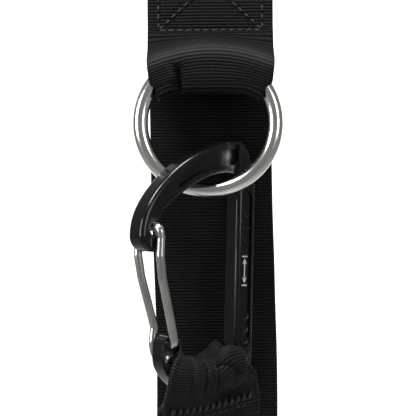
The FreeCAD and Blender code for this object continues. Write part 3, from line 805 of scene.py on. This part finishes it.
# ------------------------------------------------------------------ main strap
@dataclass
class MainStrap:
    """Heavy strap with its top eye, set-back and hemmed tail."""

    finish: WebbingFinish
    thread: bpy.types.Material
    width: float = 40.0
    thickness: float = 2.0
    eye_radius: float = 11.0
    lap: float = 62.0
    bottom: float = 220.7
    hem: float = 26.0
    box_half: float = 16.5
    box_top: float = -32.3
    lap_seam: float = -60.0
    tack_pitch: float = 2.5
    tail_depth: float = 10.0

    def centreline(self) -> list[tuple[float, float, float]]:
        """Line of the strap's middle, from the lap to the hem.

        Returns:
            Depth, height and sideways drift of each control point.
        """
        half = self.thickness / 2 + 0.01
        radius = self.eye_radius + self.thickness / 2
        way = [(half, -self.lap, 0.0), (half, -50.0, 0.0), (half, -38.0, 0.0), (half + 0.1, -30.0, 0.0),
               (3.6, -20.5, 0.0)]
        for degrees in range(-28, 209, 20):
            angle = math.radians(degrees)
            way.append((radius * math.cos(angle), radius * math.sin(angle), 0.0))
        way += [(-3.6, -20.5, 0.0), (-half - 0.1, -30.0, 0.0), (-half, -38.0, 0.0), (-half, -50.0, 0.0),
                (-half, -60.0, 0.0), (-half, -68.0, 0.0), (1.2, -79.0, 0.0), (5.0, -91.0, 0.0),
                (7.0, -104.0, 0.0), (7.2, -120.0, 0.15), (8.2, -136.0, 0.6), (10.2, -152.0, 1.0),
                (10.6, -164.0, 1.3), (9.2, -176.0, 1.35), (8.6, -190.0, 1.2), (9.6, -205.0, 0.6),
                (self.tail_depth, -218.5, 0.2)]
        fold = self.thickness + 0.6
        way += [(self.tail_depth + 0.35, -221.0, 0.0), (self.tail_depth + fold / 2, -222.0, 0.0),
                (self.tail_depth + fold - 0.35, -221.0, 0.0), (self.tail_depth + fold, -218.5, 0.0),
                (self.tail_depth + fold, -207.0, 0.0), (self.tail_depth + fold, -self.bottom + self.hem, 0.0)]
        return way

    def build(self) -> None:
        """Make the strap, its bobbin-side box stitch and the hem's seam."""
        across = columns_across(29, self.width)
        control = np.array([[(x0 + s * self.width / 2, y, z) for s in across]
                            for y, z, x0 in self.centreline()])
        rows = smooth_rows(control, self.finish.rib_pitch / 4)
        x, y, z = rows[:, :, 0], rows[:, :, 1], rows[:, :, 2]
        seams = box_lines(-self.box_half, self.lap_seam, self.box_half, self.box_top)
        dent = groove(x, z, seams, 0.3, 0.8) * (np.abs(y) < 2.0)
        ribbon = Ribbon("main_strap_webbing", rows, across, self.width, self.thickness,
                        rib_pitch=self.finish.rib_pitch, dent=dent)
        obj = ribbon.build(self.finish.build(), Slot.WEBBING)
        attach(obj, "strap")
        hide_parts("main_strap")
        self.box_seam(seams)
        self.hem_seam()

    def box_seam(self, seams: Sequence[tuple]) -> None:
        """Bobbin side of the box stitch, on the strap's rear lap.

        Args:
            seams: straight seams as pairs of (x, z).
        """
        stitches = StitchSet("box_stitch_rear")
        level = self.thickness + 0.02
        stitches.box(seams, level, Face.BACK)
        obj = stitches.build(self.thread)
        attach(obj, "strap")
        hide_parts("tab_box_bobbin")

    def hem_seam(self) -> None:
        """Close zigzag across the tail's hem."""
        stitches = StitchSet("tail_hem_stitches", width=0.75)
        level = self.tail_depth - self.thickness / 2 - 0.02
        middle = -self.bottom + self.hem - 5.0
        inset, half_tall = 3.0, 1.3
        left = -self.width / 2 + inset
        count = round((self.width - 2 * inset) / (self.tack_pitch / 2))
        for number in range(count):
            a = left + number * self.tack_pitch / 2
            sign = 1 if number % 2 else -1
            stitches.bar(Vector((a, level, middle - sign * half_tall)),
                         Vector((a + self.tack_pitch / 2, level, middle + sign * half_tall)),
                         Vector((0, -1, 0)))
        obj = stitches.build(self.thread)
        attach(obj, "strap")
        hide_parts("tail_hem_tack")


# ------------------------------------------------------------------ ring tab
@dataclass
class RingTab:
    """Webbing folded through the ring and box-stitched to the strap."""

    finish: WebbingFinish
    thread: bpy.types.Material
    width: float = 40.0
    thickness: float = 1.8
    rear_ply: float = -2.91
    front_ply: float = -4.71
    top: float = -30.5
    box_half: float = 16.5
    box_bottom: float = -63.3
    box_top: float = -32.3
    crest_height: float = -70.6
    crest_fall: float = 4.2
    fold_height: float = -83.1

    def column(self, s: float) -> list[tuple[float, float, float]]:
        """Control points of one lengthwise line of the webbing, from the rear ply to the front ply.

        Args:
            s: place across, from -1 to 1.

        Returns:
            Points as (x, y, z).
        """
        half = self.width / 2
        side = abs(s)
        crest = self.crest_height - self.crest_fall * side ** 1.9
        fold = self.fold_height + 0.2 - 2.3 * side ** 4
        tight = half * 0.80
        lean = -1.0
        rear, front = self.rear_ply, self.front_ply
        return [
            (s * half, rear, self.top), (s * half, rear, -42.0), (s * half, rear, -54.0),
            (s * half, rear, -62.0), (s * half * 0.995, rear - 0.25, -66.5),
            (s * half * 0.98, rear - 0.65, -71.5),
            (s * half * 0.93 + lean * 0.3, rear - 1.1, -76.5), (s * tight + lean, rear - 1.25, fold + 3.4),
            (s * tight + lean, rear - 2.5, fold + 0.85),
            (s * tight + lean * 0.9, -8.3, fold),
            (s * half * 0.815 + lean * 0.3, -10.5, fold + 0.6 - 1.0 * side ** 4),
            (s * half * 0.87 + lean * 0.1, -11.5, fold + 3.0),
            (s * half * 0.955, -12.0, (fold + crest) / 2 - 1.0),
            (s * half * 0.985, -12.5, crest - 2.6), (s * half, -12.1, crest + 0.2),
            (s * half, -9.9, crest + 2.1 + 0.5 * side), (s * half, -7.0, crest + 3.9 + 1.8 * side ** 2),
            (s * half, front - 0.75, -64.8), (s * half, front - 0.05, -62.0),
            (s * half, front, -54.0), (s * half, front, -42.0), (s * half, front, self.top),
        ]

    def build(self) -> None:
        """Make the tab and its box stitch."""
        across = columns_across(37, self.width)
        control = np.array([self.column(float(s)) for s in across]).transpose(1, 0, 2)
        rows = smooth_rows(control, self.finish.rib_pitch / 4)
        x, y, z = rows[:, :, 0], rows[:, :, 1], rows[:, :, 2]
        outer = np.clip((-9.5 - y) / 1.5, 0, 1)
        crease = np.exp(-((x + 10.0 + (z + 79.0) * 0.06) / 1.15) ** 2) * np.clip((-74.0 - z) / 3.0, 0, 1)
        shelf = np.exp(-((x + 12.4) / 2.6) ** 2) * np.clip((-75.0 - z) / 4.0, 0, 1)
        rows[:, :, 1] += outer * (2.5 * crease - 0.7 * shelf)
        seams = box_lines(-self.box_half, self.box_bottom, self.box_half, self.box_top)
        dent = groove(x, z, seams, 0.34, 0.85) * (z > -66.0)
        ribbon = Ribbon("ring_tab_webbing", rows, across, self.width, self.thickness,
                        rib_pitch=self.finish.rib_pitch, dent=dent)
        obj = ribbon.build(self.finish.build(), Slot.WEBBING)
        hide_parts("ring_tab_sewn", "ring_tab_loop")
        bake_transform(obj)
        stitches = StitchSet("box_stitch_front", width=0.7, height=0.4)
        level = self.front_ply - self.thickness / 2 + 0.16
        stitches.box(seams, level, Face.FRONT, OPEN_GAP)
        seam = stitches.build(self.thread)
        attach(seam, "strap")
        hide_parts("tab_box_stitch")


# ------------------------------------------------------------------ carabiner
@dataclass(frozen=True)
class CarabinerPlace:
    """Place of the carabiner's own frame: X along the bow, -Y out of its front, Z up the spine."""

    base: tuple[float, float, float] = (2.74937, -6.25474, -109.228)
    turn: float = 40.0
    lean: float = 2.3

    def matrix(self) -> Matrix:
        """Transform from the carabiner's frame to the row frame, both in millimetres.

        Returns:
            The 4 by 4 matrix.
        """
        turn = Matrix.Rotation(math.radians(self.turn), 4, "Z")
        lean = Matrix.Rotation(math.radians(self.lean), 4, "Y")
        return Matrix.Translation(Vector(self.base)) @ turn @ lean

    def points(self, local: np.ndarray) -> np.ndarray:
        """Move points to the row frame.

        Args:
            local: points in the carabiner's frame, in millimetres.

        Returns:
            The same points in the row frame, in millimetres.
        """
        m = np.array(self.matrix())
        return local @ m[:3, :3].T + m[:3, 3]


@dataclass
class Carabiner:
    """Forged body and wire gate, with raised ribs and a pictogram in the spine's panel."""

    place: CarabinerPlace
    body: bpy.types.Material
    wire: bpy.types.Material
    ink: bpy.types.Material
    half_thickness: float = 3.6
    panel_depth: float = 0.7
    panel_left: float = 6.45
    panel_right: float = 10.75
    upper_ribs: Sequence[float] = (-9.5, -13.6, -17.7, -21.8)
    lower_ribs: Sequence[float] = (-42.5, -46.4, -50.3)
    sign_middle: float = -30.5
    sign_length: float = 9.2
    front_hole: tuple[float, float] = (-21.0, -57.05)
    back_hole: tuple[float, float] = (-20.2, -52.9)
    end_radius: float = 1.25
    end_level: float = 2.45

    def build(self) -> None:
        """Dress the body and the gate and add the ribs, the sign and the wire's ends."""
        dress("carabiner_body", self.body)
        dress("gate_wire", self.wire)
        for face in Face:
            self.ribs(face)
        self.sign()
        self.wire_ends()

    def floor(self, face: Face) -> float:
        """Depth of the panel's floor on one face."""
        return face.value * (self.half_thickness - self.panel_depth)

    def ribs(self, face: Face) -> None:
        """Slanted leaf-shaped ribs, as open curved ridges on the panel's floor.

        Args:
            face: side of the body that they stand on.
        """
        middle = (self.panel_left + self.panel_right) / 2
        reach = (self.panel_right - self.panel_left) / 2 - 0.3
        tracks = []
        for top in self.upper_ribs:
            tracks.append([(middle - reach, top), (middle - reach * 0.5, top - 2.3),
                           (middle + reach * 0.55, top - 3.6), (middle + reach, top - 3.0)])
        for top in self.lower_ribs:
            tracks.append([(middle - reach, top), (middle - reach * 0.4, top - 2.6),
                           (middle + reach * 0.6, top - 3.7), (middle + reach, top - 2.2),
                           (middle + reach * 0.35, top - 1.2)])
        points, faces = [], []
        for track in tracks:
            self.ridge(track, face, points, faces)
        world = self.place.points(np.array(points)) * MM
        obj = new_object(f"spine_ribs_{face.name.lower()}", world, faces, None, self.body)
        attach(obj, "carabiner")

    def ridge(self, track: Sequence[tuple[float, float]], face: Face, points: list, faces: list) -> None:
        """Add one half-round ridge along a track.

        Args:
            track: corner points on the panel, as (x, z).
            face: side of the body.
            points: vertex list that grows.
            faces: face list that grows.
        """
        control = np.array([[(x, 0.0, z)] for x, z in track])
        line = smooth_rows(control, 0.3)[:, 0]
        tangent = np.gradient(line, axis=0)
        tangent /= np.linalg.norm(tangent, axis=1, keepdims=True)
        base, sides = len(points), 7
        floor = self.floor(face)
        for i, (here, forward) in enumerate(zip(line, tangent)):
            taper = math.sin(math.pi * (0.08 + 0.84 * i / (len(line) - 1))) ** 0.5
            aside = np.array([-forward[2], 0.0, forward[0]])
            for k in range(sides):
                angle = math.pi * k / (sides - 1)
                rise = 0.42 * taper * math.sin(angle) - 0.06
                lift = np.array([0, floor + face.value * rise, 0])
                points.append(here + aside * math.cos(angle) * 0.48 * taper + lift)
        faces += grid_faces(len(line), sides, base, flip=face is Face.BACK)

    def sign(self) -> None:
        """Generic white double arrow between two bars, printed on the front panel."""
        x = (self.panel_left + self.panel_right) / 2
        z, half = self.sign_middle, self.sign_length / 2
        level = self.floor(Face.FRONT) - 0.03
        pen = 0.22
        shapes = [[(x - pen, z - half + 2.2), (x + pen, z - half + 2.2), (x + pen, z + half - 2.2),
                   (x - pen, z + half - 2.2)]]
        for sign in (-1, 1):
            tip = z + sign * (half - 0.6)
            shapes.append([(x - 0.95, tip - sign * 1.9), (x, tip - sign * 1.45),
                           (x + 0.95, tip - sign * 1.9), (x, tip)])
            bar = z + sign * half
            shapes.append([(x - 1.1, bar - pen), (x + 1.1, bar - pen),
                           (x + 1.1, bar + pen), (x - 1.1, bar + pen)])
        points, faces = [], []
        for shape in shapes:
            start = len(points)
            count = len(shape)
            points += [(px, level, pz) for px, pz in shape]
            points += [(px, level + 0.06, pz) for px, pz in shape]
            faces.append(tuple(range(start, start + count)))
            faces.append(tuple(reversed(range(start + count, start + 2 * count))))
            for k in range(count):
                a, b = start + k, start + (k + 1) % count
                faces.append((b, a, a + count, b + count))
        obj = new_object("spine_sign", self.place.points(np.array(points)) * MM, faces, None, self.ink)
        for polygon in obj.data.polygons:
            polygon.use_smooth = False
        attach(obj, "carabiner")

    def wire_ends(self) -> None:
        """Domed ends of the gate wire, each showing in its hole of the pivot."""
        sides = 24
        profile = [(1.0, -0.5), (1.0, 0.0), (0.96, 0.16), (0.84, 0.32), (0.6, 0.44), (0.3, 0.5)]
        points, faces = [], []
        for face, (across, up) in ((Face.FRONT, self.front_hole), (Face.BACK, self.back_hole)):
            start = len(points)
            for share, rise in profile:
                level = face.value * (self.end_level + rise)
                for k in range(sides):
                    turn = 2 * math.pi * k / sides
                    points.append((across + self.end_radius * share * math.cos(turn), level,
                                   up + self.end_radius * share * math.sin(turn)))
            faces += grid_faces(len(profile), sides, start, wrap=True, flip=face is Face.BACK)
            last = list(range(start + (len(profile) - 1) * sides, start + len(profile) * sides))
            first = list(range(start, start + sides))[::-1]
            faces += [last, first] if face is Face.FRONT else [last[::-1], first[::-1]]
        obj = new_object("gate_wire_ends", self.place.points(np.array(points)) * MM, faces, None, self.wire)
        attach(obj, "gate")


def dress(node: str, material: bpy.types.Material) -> None:
    """Give a CAD node its finish.

    Args:
        node: name of the node in the frame.
        material: the finish.
    """
    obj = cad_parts[node]
    obj.data.materials.clear()
    obj.data.materials.append(material)


# ------------------------------------------------------------------ sling
@dataclass
class Sling:
    """Softer webbing gathered over the basket, tacked below it, sewn double, with a lower eye."""

    place: CarabinerPlace
    finish: WebbingFinish
    thread: bpy.types.Material
    width: float = 40.0
    thickness: float = 1.8
    middle: float = -4.5
    eye_height: float = -141.1
    eye_radius: float = 11.0
    neck: float = -114.1
    tack_row: float = -72.6
    box_half: float = 16.5
    box_bottom: float = -108.1
    box_top: float = -79.1
    pleats: Sequence[tuple[float, float, float]] = ((-14.6, 0.7, 0.9), (-9.0, 0.9, 0.6), (-6.6, 0.8, 0.5),
                                                     (-4.4, 0.9, 0.6))
    fold_line: Sequence[tuple[float, float]] = ((-6.2, -59.7), (-3.0, -59.2), (0.8, -60.0), (3.4, -61.9))
    edge_inset: float = 2.4
    edge_pitch: float = 2.3
    tack_left: float = -14.6
    tack_right: float = 19.0
    tack_count: int = 13

    def head_rows(self, s: np.ndarray) -> list[np.ndarray]:
        """Front half of the gathered head as rows from the tack up to the saddle.

        Args:
            s: places across, from -1 to 1.

        Returns:
            Rows of local points.
        """
        knots = np.array([-1.0, -0.72, -0.45, -0.2, 0.0, 0.2, 0.42, 0.7, 1.0])
        table = [
            # along the tack: flat
            ([-21.7, -16.4, -11.0, -6.2, -2.2, 1.8, 6.3, 12.0, 18.0], [-75.2] * 9, [-1.0] * 9),
            ([-21.8, -16.5, -11.1, -6.3, -2.4, 1.6, 6.0, 11.6, 17.4],
             [-72.8, -73.0, -73.1, -73.0, -72.8, -72.4, -71.8, -71.0, -70.0],
             [-1.2, -1.2, -1.2, -1.2, -1.2, -1.2, -1.2, -1.3, -1.5]),
            ([-22.6, -17.4, -12.1, -7.4, -3.4, 0.4, 4.6, 9.8, 14.8],
             [-69.6, -70.0, -70.2, -70.0, -69.6, -68.8, -68.0, -67.2, -66.8],
             [-2.8, -3.2, -3.4, -3.4, -2.8, -1.6, -1.4, -2.0, -3.6]),
            ([-23.6, -18.6, -13.2, -8.4, -4.4, -0.8, 3.0, 7.4, 11.4],
             [-65.8, -66.2, -66.4, -66.2, -66.0, -65.4, -64.8, -63.8, -63.4],
             [-5.2, -5.7, -5.9, -5.9, -5.8, -5.5, -5.5, -5.8, -5.8]),
            ([-23.4, -18.6, -13.4, -8.9, -5.2, -2.1, 1.6, 5.6, 8.7],
             [-61.2, -62.0, -62.4, -62.4, -62.4, -61.4, -60.0, -59.4, -60.4],
             [-6.0, -6.5, -6.6, -6.6, -6.6, -6.9, -7.3, -7.1, -6.0]),
            ([-21.0, -17.0, -12.6, -8.9, -5.8, -3.2, 0.2, 4.3, 7.2],
             [-56.6, -58.8, -59.4, -59.8, -60.0, -57.0, -55.4, -56.0, -57.6],
             [-5.6, -5.8, -5.7, -5.6, -5.5, -6.2, -6.7, -6.4, -5.4]),
            ([-19.4, -16.0, -12.2, -8.8, -6.0, -3.2, 0.0, 3.6, 6.2],
             [-56.4, -57.6, -58.0, -58.5, -58.8, -57.0, -54.8, -55.4, -56.8],
             [-4.6, -3.8, -3.4, -3.2, -3.0, -3.9, -4.8, -5.0, -4.9]),
            ([-17.0, -14.2, -11.4, -8.4, -5.4, -2.0, 1.2, 3.2, 4.6],
             [-55.8, -57.0, -57.9, -58.6, -58.9, -59.0, -57.9, -56.4, -55.0],
             [-0.6] + [0.0] * 7 + [-0.6]),
        ]
        rows = []
        for across, height, depth in table:
            rows.append(np.stack([smooth_line(s, knots, across), smooth_line(s, knots, depth),
                                  smooth_line(s, knots, height)], axis=-1))
        return rows

    def build(self) -> None:
        """Make the sling, its tack, box stitches and edge seams."""
        s = columns_across(61, self.width)
        flat = self.middle + s * self.width / 2
        ply = self.thickness / 2 + 0.03

        def level(depth: float, height: float, aside: float = 0.0) -> np.ndarray:
            """One flat row across the sling.

            Args:
                depth: place from back to front.
                height: place up the sling.
                aside: how far the row is drawn towards the spine.

            Returns:
                Local points.
            """
            return np.stack([flat + aside, np.full_like(s, depth), np.full_like(s, height)], axis=-1)

        radius = self.eye_radius + self.thickness / 2
        front = []
        for degrees in range(0, 121, 20):
            angle = math.radians(degrees)
            front.append(level(-radius * math.sin(angle), self.eye_height - radius * math.cos(angle)))
        front += [level(-4.4, self.eye_height + 17.5), level(-1.6, self.neck + 0.6),
                  level(-ply, self.neck + 6.0), level(-ply, -100.0), level(-ply, -90.0, 0.6),
                  level(-ply, -82.0, 1.8)]
        front += self.head_rows(s)
        back = [self.mirrored(row, s) for row in front[-2:0:-1]]
        control = np.array(front + back)
        rows = smooth_rows(control, self.finish.rib_pitch / 3, closed=True)
        self.pleat(rows)
        p, q = rows[:, :, 0].copy(), rows[:, :, 2].copy()
        seams = box_lines(self.middle - self.box_half, self.box_bottom,
                          self.middle + self.box_half, self.box_top)
        dent = groove(p, q, seams, 0.3, 0.8)
        edge = (1 - np.abs(s)) * self.width / 2
        dent += 0.22 * np.exp(-((edge - self.edge_inset) / 0.6) ** 2)[None, :]
        world = self.place.points(rows.reshape(-1, 3)).reshape(rows.shape)
        ribbon = Ribbon("sling_webbing", world, s, self.width, self.thickness, closed=True,
                        rib_pitch=self.finish.rib_pitch, relief=0.025, dent=dent)
        obj = ribbon.build(self.finish.build(), Slot.WEBBING)
        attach(obj, "sling")
        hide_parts("sling")
        self.edge_seams(ribbon)
        self.box_seams(seams)
        self.tack()

    def mirrored(self, row: np.ndarray, s: np.ndarray) -> np.ndarray:
        """The back sheet's row that faces a front row.

        It is drawn in further at its left selvedge. Right of its middle it leans towards the
        spine, more so the further back it stands.

        Args:
            row: points of the front row.
            s: places across, from -1 to 1.

        Returns:
            Points of the back row.
        """
        near_bar = np.clip((row[:, 2] + 73.0) / 5.0, 0, 1)
        bunch = np.clip((s + 0.1) / 0.35, 0, 1)
        inward = 8.5 * np.clip(-s, 0, 1) ** 1.5 * near_bar * np.clip(-row[:, 1] / 3.0, 0, 1)
        moved = row * np.array([1.0, -1.0, 1.0])
        moved[:, 0] += inward + (0.85 * np.clip(moved[:, 1], 0, 6) * near_bar
                                 * bunch * bunch * (3 - 2 * bunch)
                                 * np.clip((7.0 - row[:, 0]) / 6.0, 0, 1))
        return moved

    def pleat(self, rows: np.ndarray) -> None:
        """Push the gathered cloth in at its pleats and out between them.

        Args:
            rows: points of the whole sling, which are moved in place.
        """
        p, v, q = rows[:, :, 0], rows[:, :, 1], rows[:, :, 2]
        top = np.clip((q + 71.0) / 8.0, 0, 1)
        strength = top * top * (3 - 2 * top)
        centre = np.array([0.0, 0.0, -64.35])
        away = rows - centre
        away[:, :, 0] = 0
        away /= np.maximum(np.linalg.norm(away, axis=2, keepdims=True), 1e-6)
        shift = np.zeros_like(p)
        arc = list(zip(self.fold_line[:-1], self.fold_line[1:]))
        shift -= 0.8 * groove(p, q, arc, 1.0, 0.7) * (v < -1.0)
        for place, depth, spread in self.pleats:
            path = place + 0.12 * (q + 60.0)
            shift -= depth * np.exp(-((p - path) / spread) ** 2)
        shift += 0.25 + 0.25 * np.cos((p + 12.6) * 2 * math.pi / 5.6)
        over = np.clip(np.abs(v) / 3.0, 0.25, 1)
        rows += away * (shift * strength * over)[:, :, None]

    def edge_seams(self, ribbon: Ribbon) -> None:
        """A row of stitches near both selvedges, all the way round the sling's outside.

        Args:
            ribbon: the sling's cloth.
        """
        stitches = StitchSet("sling_edge_stitches", width=0.5, height=0.26)
        step = ribbon.along[1] - ribbon.along[0]
        pitch = self.edge_pitch / step
        count = int((len(ribbon.rows) - 2) / pitch)
        for across in (-self.width / 2 + self.edge_inset, self.width / 2 - self.edge_inset):
            for number in range(count):
                a, _, normal = ribbon.spot(across, number * pitch + 0.3 * pitch, Face.FRONT)
                b, _, _ = ribbon.spot(across, (number + 1) * pitch, Face.FRONT)
                stitches.bar(a - normal * 0.2, b - normal * 0.2, normal)
        obj = stitches.build(self.thread)
        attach(obj, "sling")

    def box_seams(self, seams: Sequence[tuple]) -> None:
        """Box stitches on both faces of the double part.

        Args:
            seams: straight seams as pairs of (x, z) in the sling's frame.
        """
        matrix = self.place.matrix()
        for face, node in ((Face.FRONT, "sling_box_stitch"), (Face.BACK, "sling_box_bobbin")):
            stitches = StitchSet(f"sling_box_{face.name.lower()}", width=0.66)
            level = face.value * (self.thickness + 0.03 - 0.12)
            stitches.box(seams, level, face, OPEN_GAP, matrix)
            obj = stitches.build(self.thread)
            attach(obj, "sling")
            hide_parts(node)

    def tack(self) -> None:
        """Thick slanted tack across the sling under the basket, and the seam line below it."""
        matrix = self.place.matrix()
        normal = matrix.to_3x3() @ Vector((0, -1, 0))
        stitches = StitchSet("sling_tack", width=1.55, height=1.15)
        seam = StitchSet("sling_tack_seam", width=0.6, height=0.34)
        left, right = self.middle + self.tack_left, self.middle + self.tack_right

        def row(p: float) -> float:
            """Height of the tack's line, which climbs to the right.

            Args:
                p: place across, in millimetres.

            Returns:
                The height.
            """
            share = (p - left) / (right - left)
            return self.tack_row - 0.6 + 3.2 * share ** 2.2

        step = (right - left) / self.tack_count
        for number in range(self.tack_count):
            a = left + number * step
            b = a + step * 0.2
            depth = -self.thickness - 0.1
            stitches.bar(matrix @ Vector((a, depth, row(a) - 1.3)),
                         matrix @ Vector((b, depth - 0.3, row(b) + 1.5)), normal)
            c = a + step
            seam.bar(matrix @ Vector((a + 0.3, depth + 0.1, row(a) - 2.6)),
                     matrix @ Vector((c - 0.3, depth + 0.1, row(c) - 2.6)), normal)
        obj = stitches.build(self.thread)
        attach(obj, "sling")
        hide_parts("sling_bar_tack")
        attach(seam.build(self.thread), "sling")


def smooth_line(s: np.ndarray, knots: np.ndarray, values: Sequence[float]) -> np.ndarray:
    """Smooth curve through values at knots, read at the places s.

    Args:
        s: places to read.
        knots: places of the values.
        values: values.

    Returns:
        The curve's value at each place.
    """
    values = np.asarray(values, float)
    slope = np.gradient(values, knots)
    i = np.clip(np.searchsorted(knots, s, side="right") - 1, 0, len(knots) - 2)
    span = knots[i + 1] - knots[i]
    t = (s - knots[i]) / span
    return ((2 * t ** 3 - 3 * t ** 2 + 1) * values[i] + (t ** 3 - 2 * t ** 2 + t) * span * slope[i]
            + (-2 * t ** 3 + 3 * t ** 2) * values[i + 1] + (t ** 3 - t ** 2) * span * slope[i + 1])


# ------------------------------------------------------------------ studio
@dataclass
class Studio:
    """Pale paper sweep, soft lights and the camera."""

    eye: tuple[float, float, float] = (-0.00122, -0.335, -0.11985)
    lens: float = 89.6
    sensor: float = 36.0
    roll: float = 0.5
    world: float = 0.2

    def build(self) -> None:
        """Set up the paper, lights, world and camera."""
        self.paper()
        self.light("key", (-0.2, -0.3, 0.5), (0, 0, -0.1), 0.24, 3.8)
        self.light("panel_left", (-0.6, -0.34, 0.02), (0, 0, -0.13), 0.36, 2.6)
        self.light("panel_right", (0.46, -0.5, 0.02), (0, 0, -0.13), 0.3, 1.1)
        self.light("top", (0.05, -0.1, 0.55), (0, 0, -0.1), 0.24, 3.2)
        self.light("paper_left", (-1.0, 1.3, 0.3), (-0.6, 2.6, -0.2), 0.8, 24.0)
        self.light("paper_right", (1.0, 1.3, 0.3), (0.6, 2.6, -0.2), 0.8, 24.0)
        world = bpy.data.worlds.new("studio")
        bpy.context.scene.world = world
        world.use_nodes = True
        background = world.node_tree.nodes["Background"]
        background.inputs["Color"].default_value = WHITE
        background.inputs["Strength"].default_value = self.world
        bpy.context.scene.view_settings.view_transform = "Standard"
        camera = bpy.data.objects.new("camera", bpy.data.cameras.new("camera"))
        camera.data.lens = self.lens
        camera.data.sensor_width = self.sensor
        camera.data.clip_start = 0.01
        camera.location = self.eye
        camera.rotation_euler = Euler((math.radians(90), math.radians(self.roll), 0))
        bpy.context.scene.collection.objects.link(camera)
        bpy.context.scene.camera = camera

    def light(self, name: str, place: Sequence[float], target: Sequence[float], size: float,
              watts: float) -> None:
        """Add a soft square light aimed at a point.

        Args:
            name: name of the light.
            place: where it stands, in metres.
            target: the point that it faces, in metres.
            size: side of the square, in metres.
            watts: power.
        """
        lamp = bpy.data.lights.new(name, "AREA")
        lamp.size = size
        lamp.energy = watts
        obj = bpy.data.objects.new(name, lamp)
        obj.location = place
        obj.rotation_euler = (Vector(target) - Vector(place)).to_track_quat("-Z", "Y").to_euler()
        bpy.context.scene.collection.objects.link(obj)

    def paper(self) -> None:
        """Floor that sweeps up into a backdrop behind the hanging strap."""
        profile = [(-3.0, -0.9), (1.9, -0.9), (2.2, -0.88), (2.42, -0.82), (2.56, -0.72), (2.6, -0.62),
                   (2.6, 3.0)]
        half_wide = 4200.0
        control = np.array([[(x, y / MM, z / MM) for x in (-half_wide, 0.0, half_wide)] for y, z in profile])
        rows = smooth_rows(control, 40.0)
        points = rows.reshape(-1, 3) * MM
        faces = grid_faces(len(rows), rows.shape[1])
        obj = new_object("paper_sweep", points, faces, None, PaperFinish("studio_paper", 0.93).build())
        obj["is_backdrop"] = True


# ------------------------------------------------------------------ assembly
def main() -> None:
    """Build every sub-assembly in order and report the pieces."""
    logging.basicConfig(level=logging.INFO, format="%(name)s: %(message)s")
    thread = ThreadFinish().build()
    place = CarabinerPlace()
    steel = SteelFinish("polished_ring_steel", (0.86, 0.84, 0.8), 0.17, 0.004)
    wire = SteelFinish("drawn_gate_wire", (0.6, 0.58, 0.55), 0.24, 0.006, (1.0, 1.0, 0.15))
    MainStrap(WebbingFinish("heavy_webbing"), thread).build()
    RingTab(WebbingFinish("tab_webbing", rib_pitch=1.0, light=0.009, crest=-70.2 * MM), thread).build()
    dress("o_ring", steel.build())
    Carabiner(place, AnodisedFinish().build(), wire.build(), InkFinish().build()).build()
    weave = WebbingFinish("sling_webbing_weave", rib_pitch=0.6, yarn_pitch=0.45, relief=0.13, light=0.018)
    Sling(place, weave, thread).build()
    Studio().build()
    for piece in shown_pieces():
        log.info("%s with %d faces", piece.name, len(piece.data.polygons))


if __name__ == "__main__":
    main()
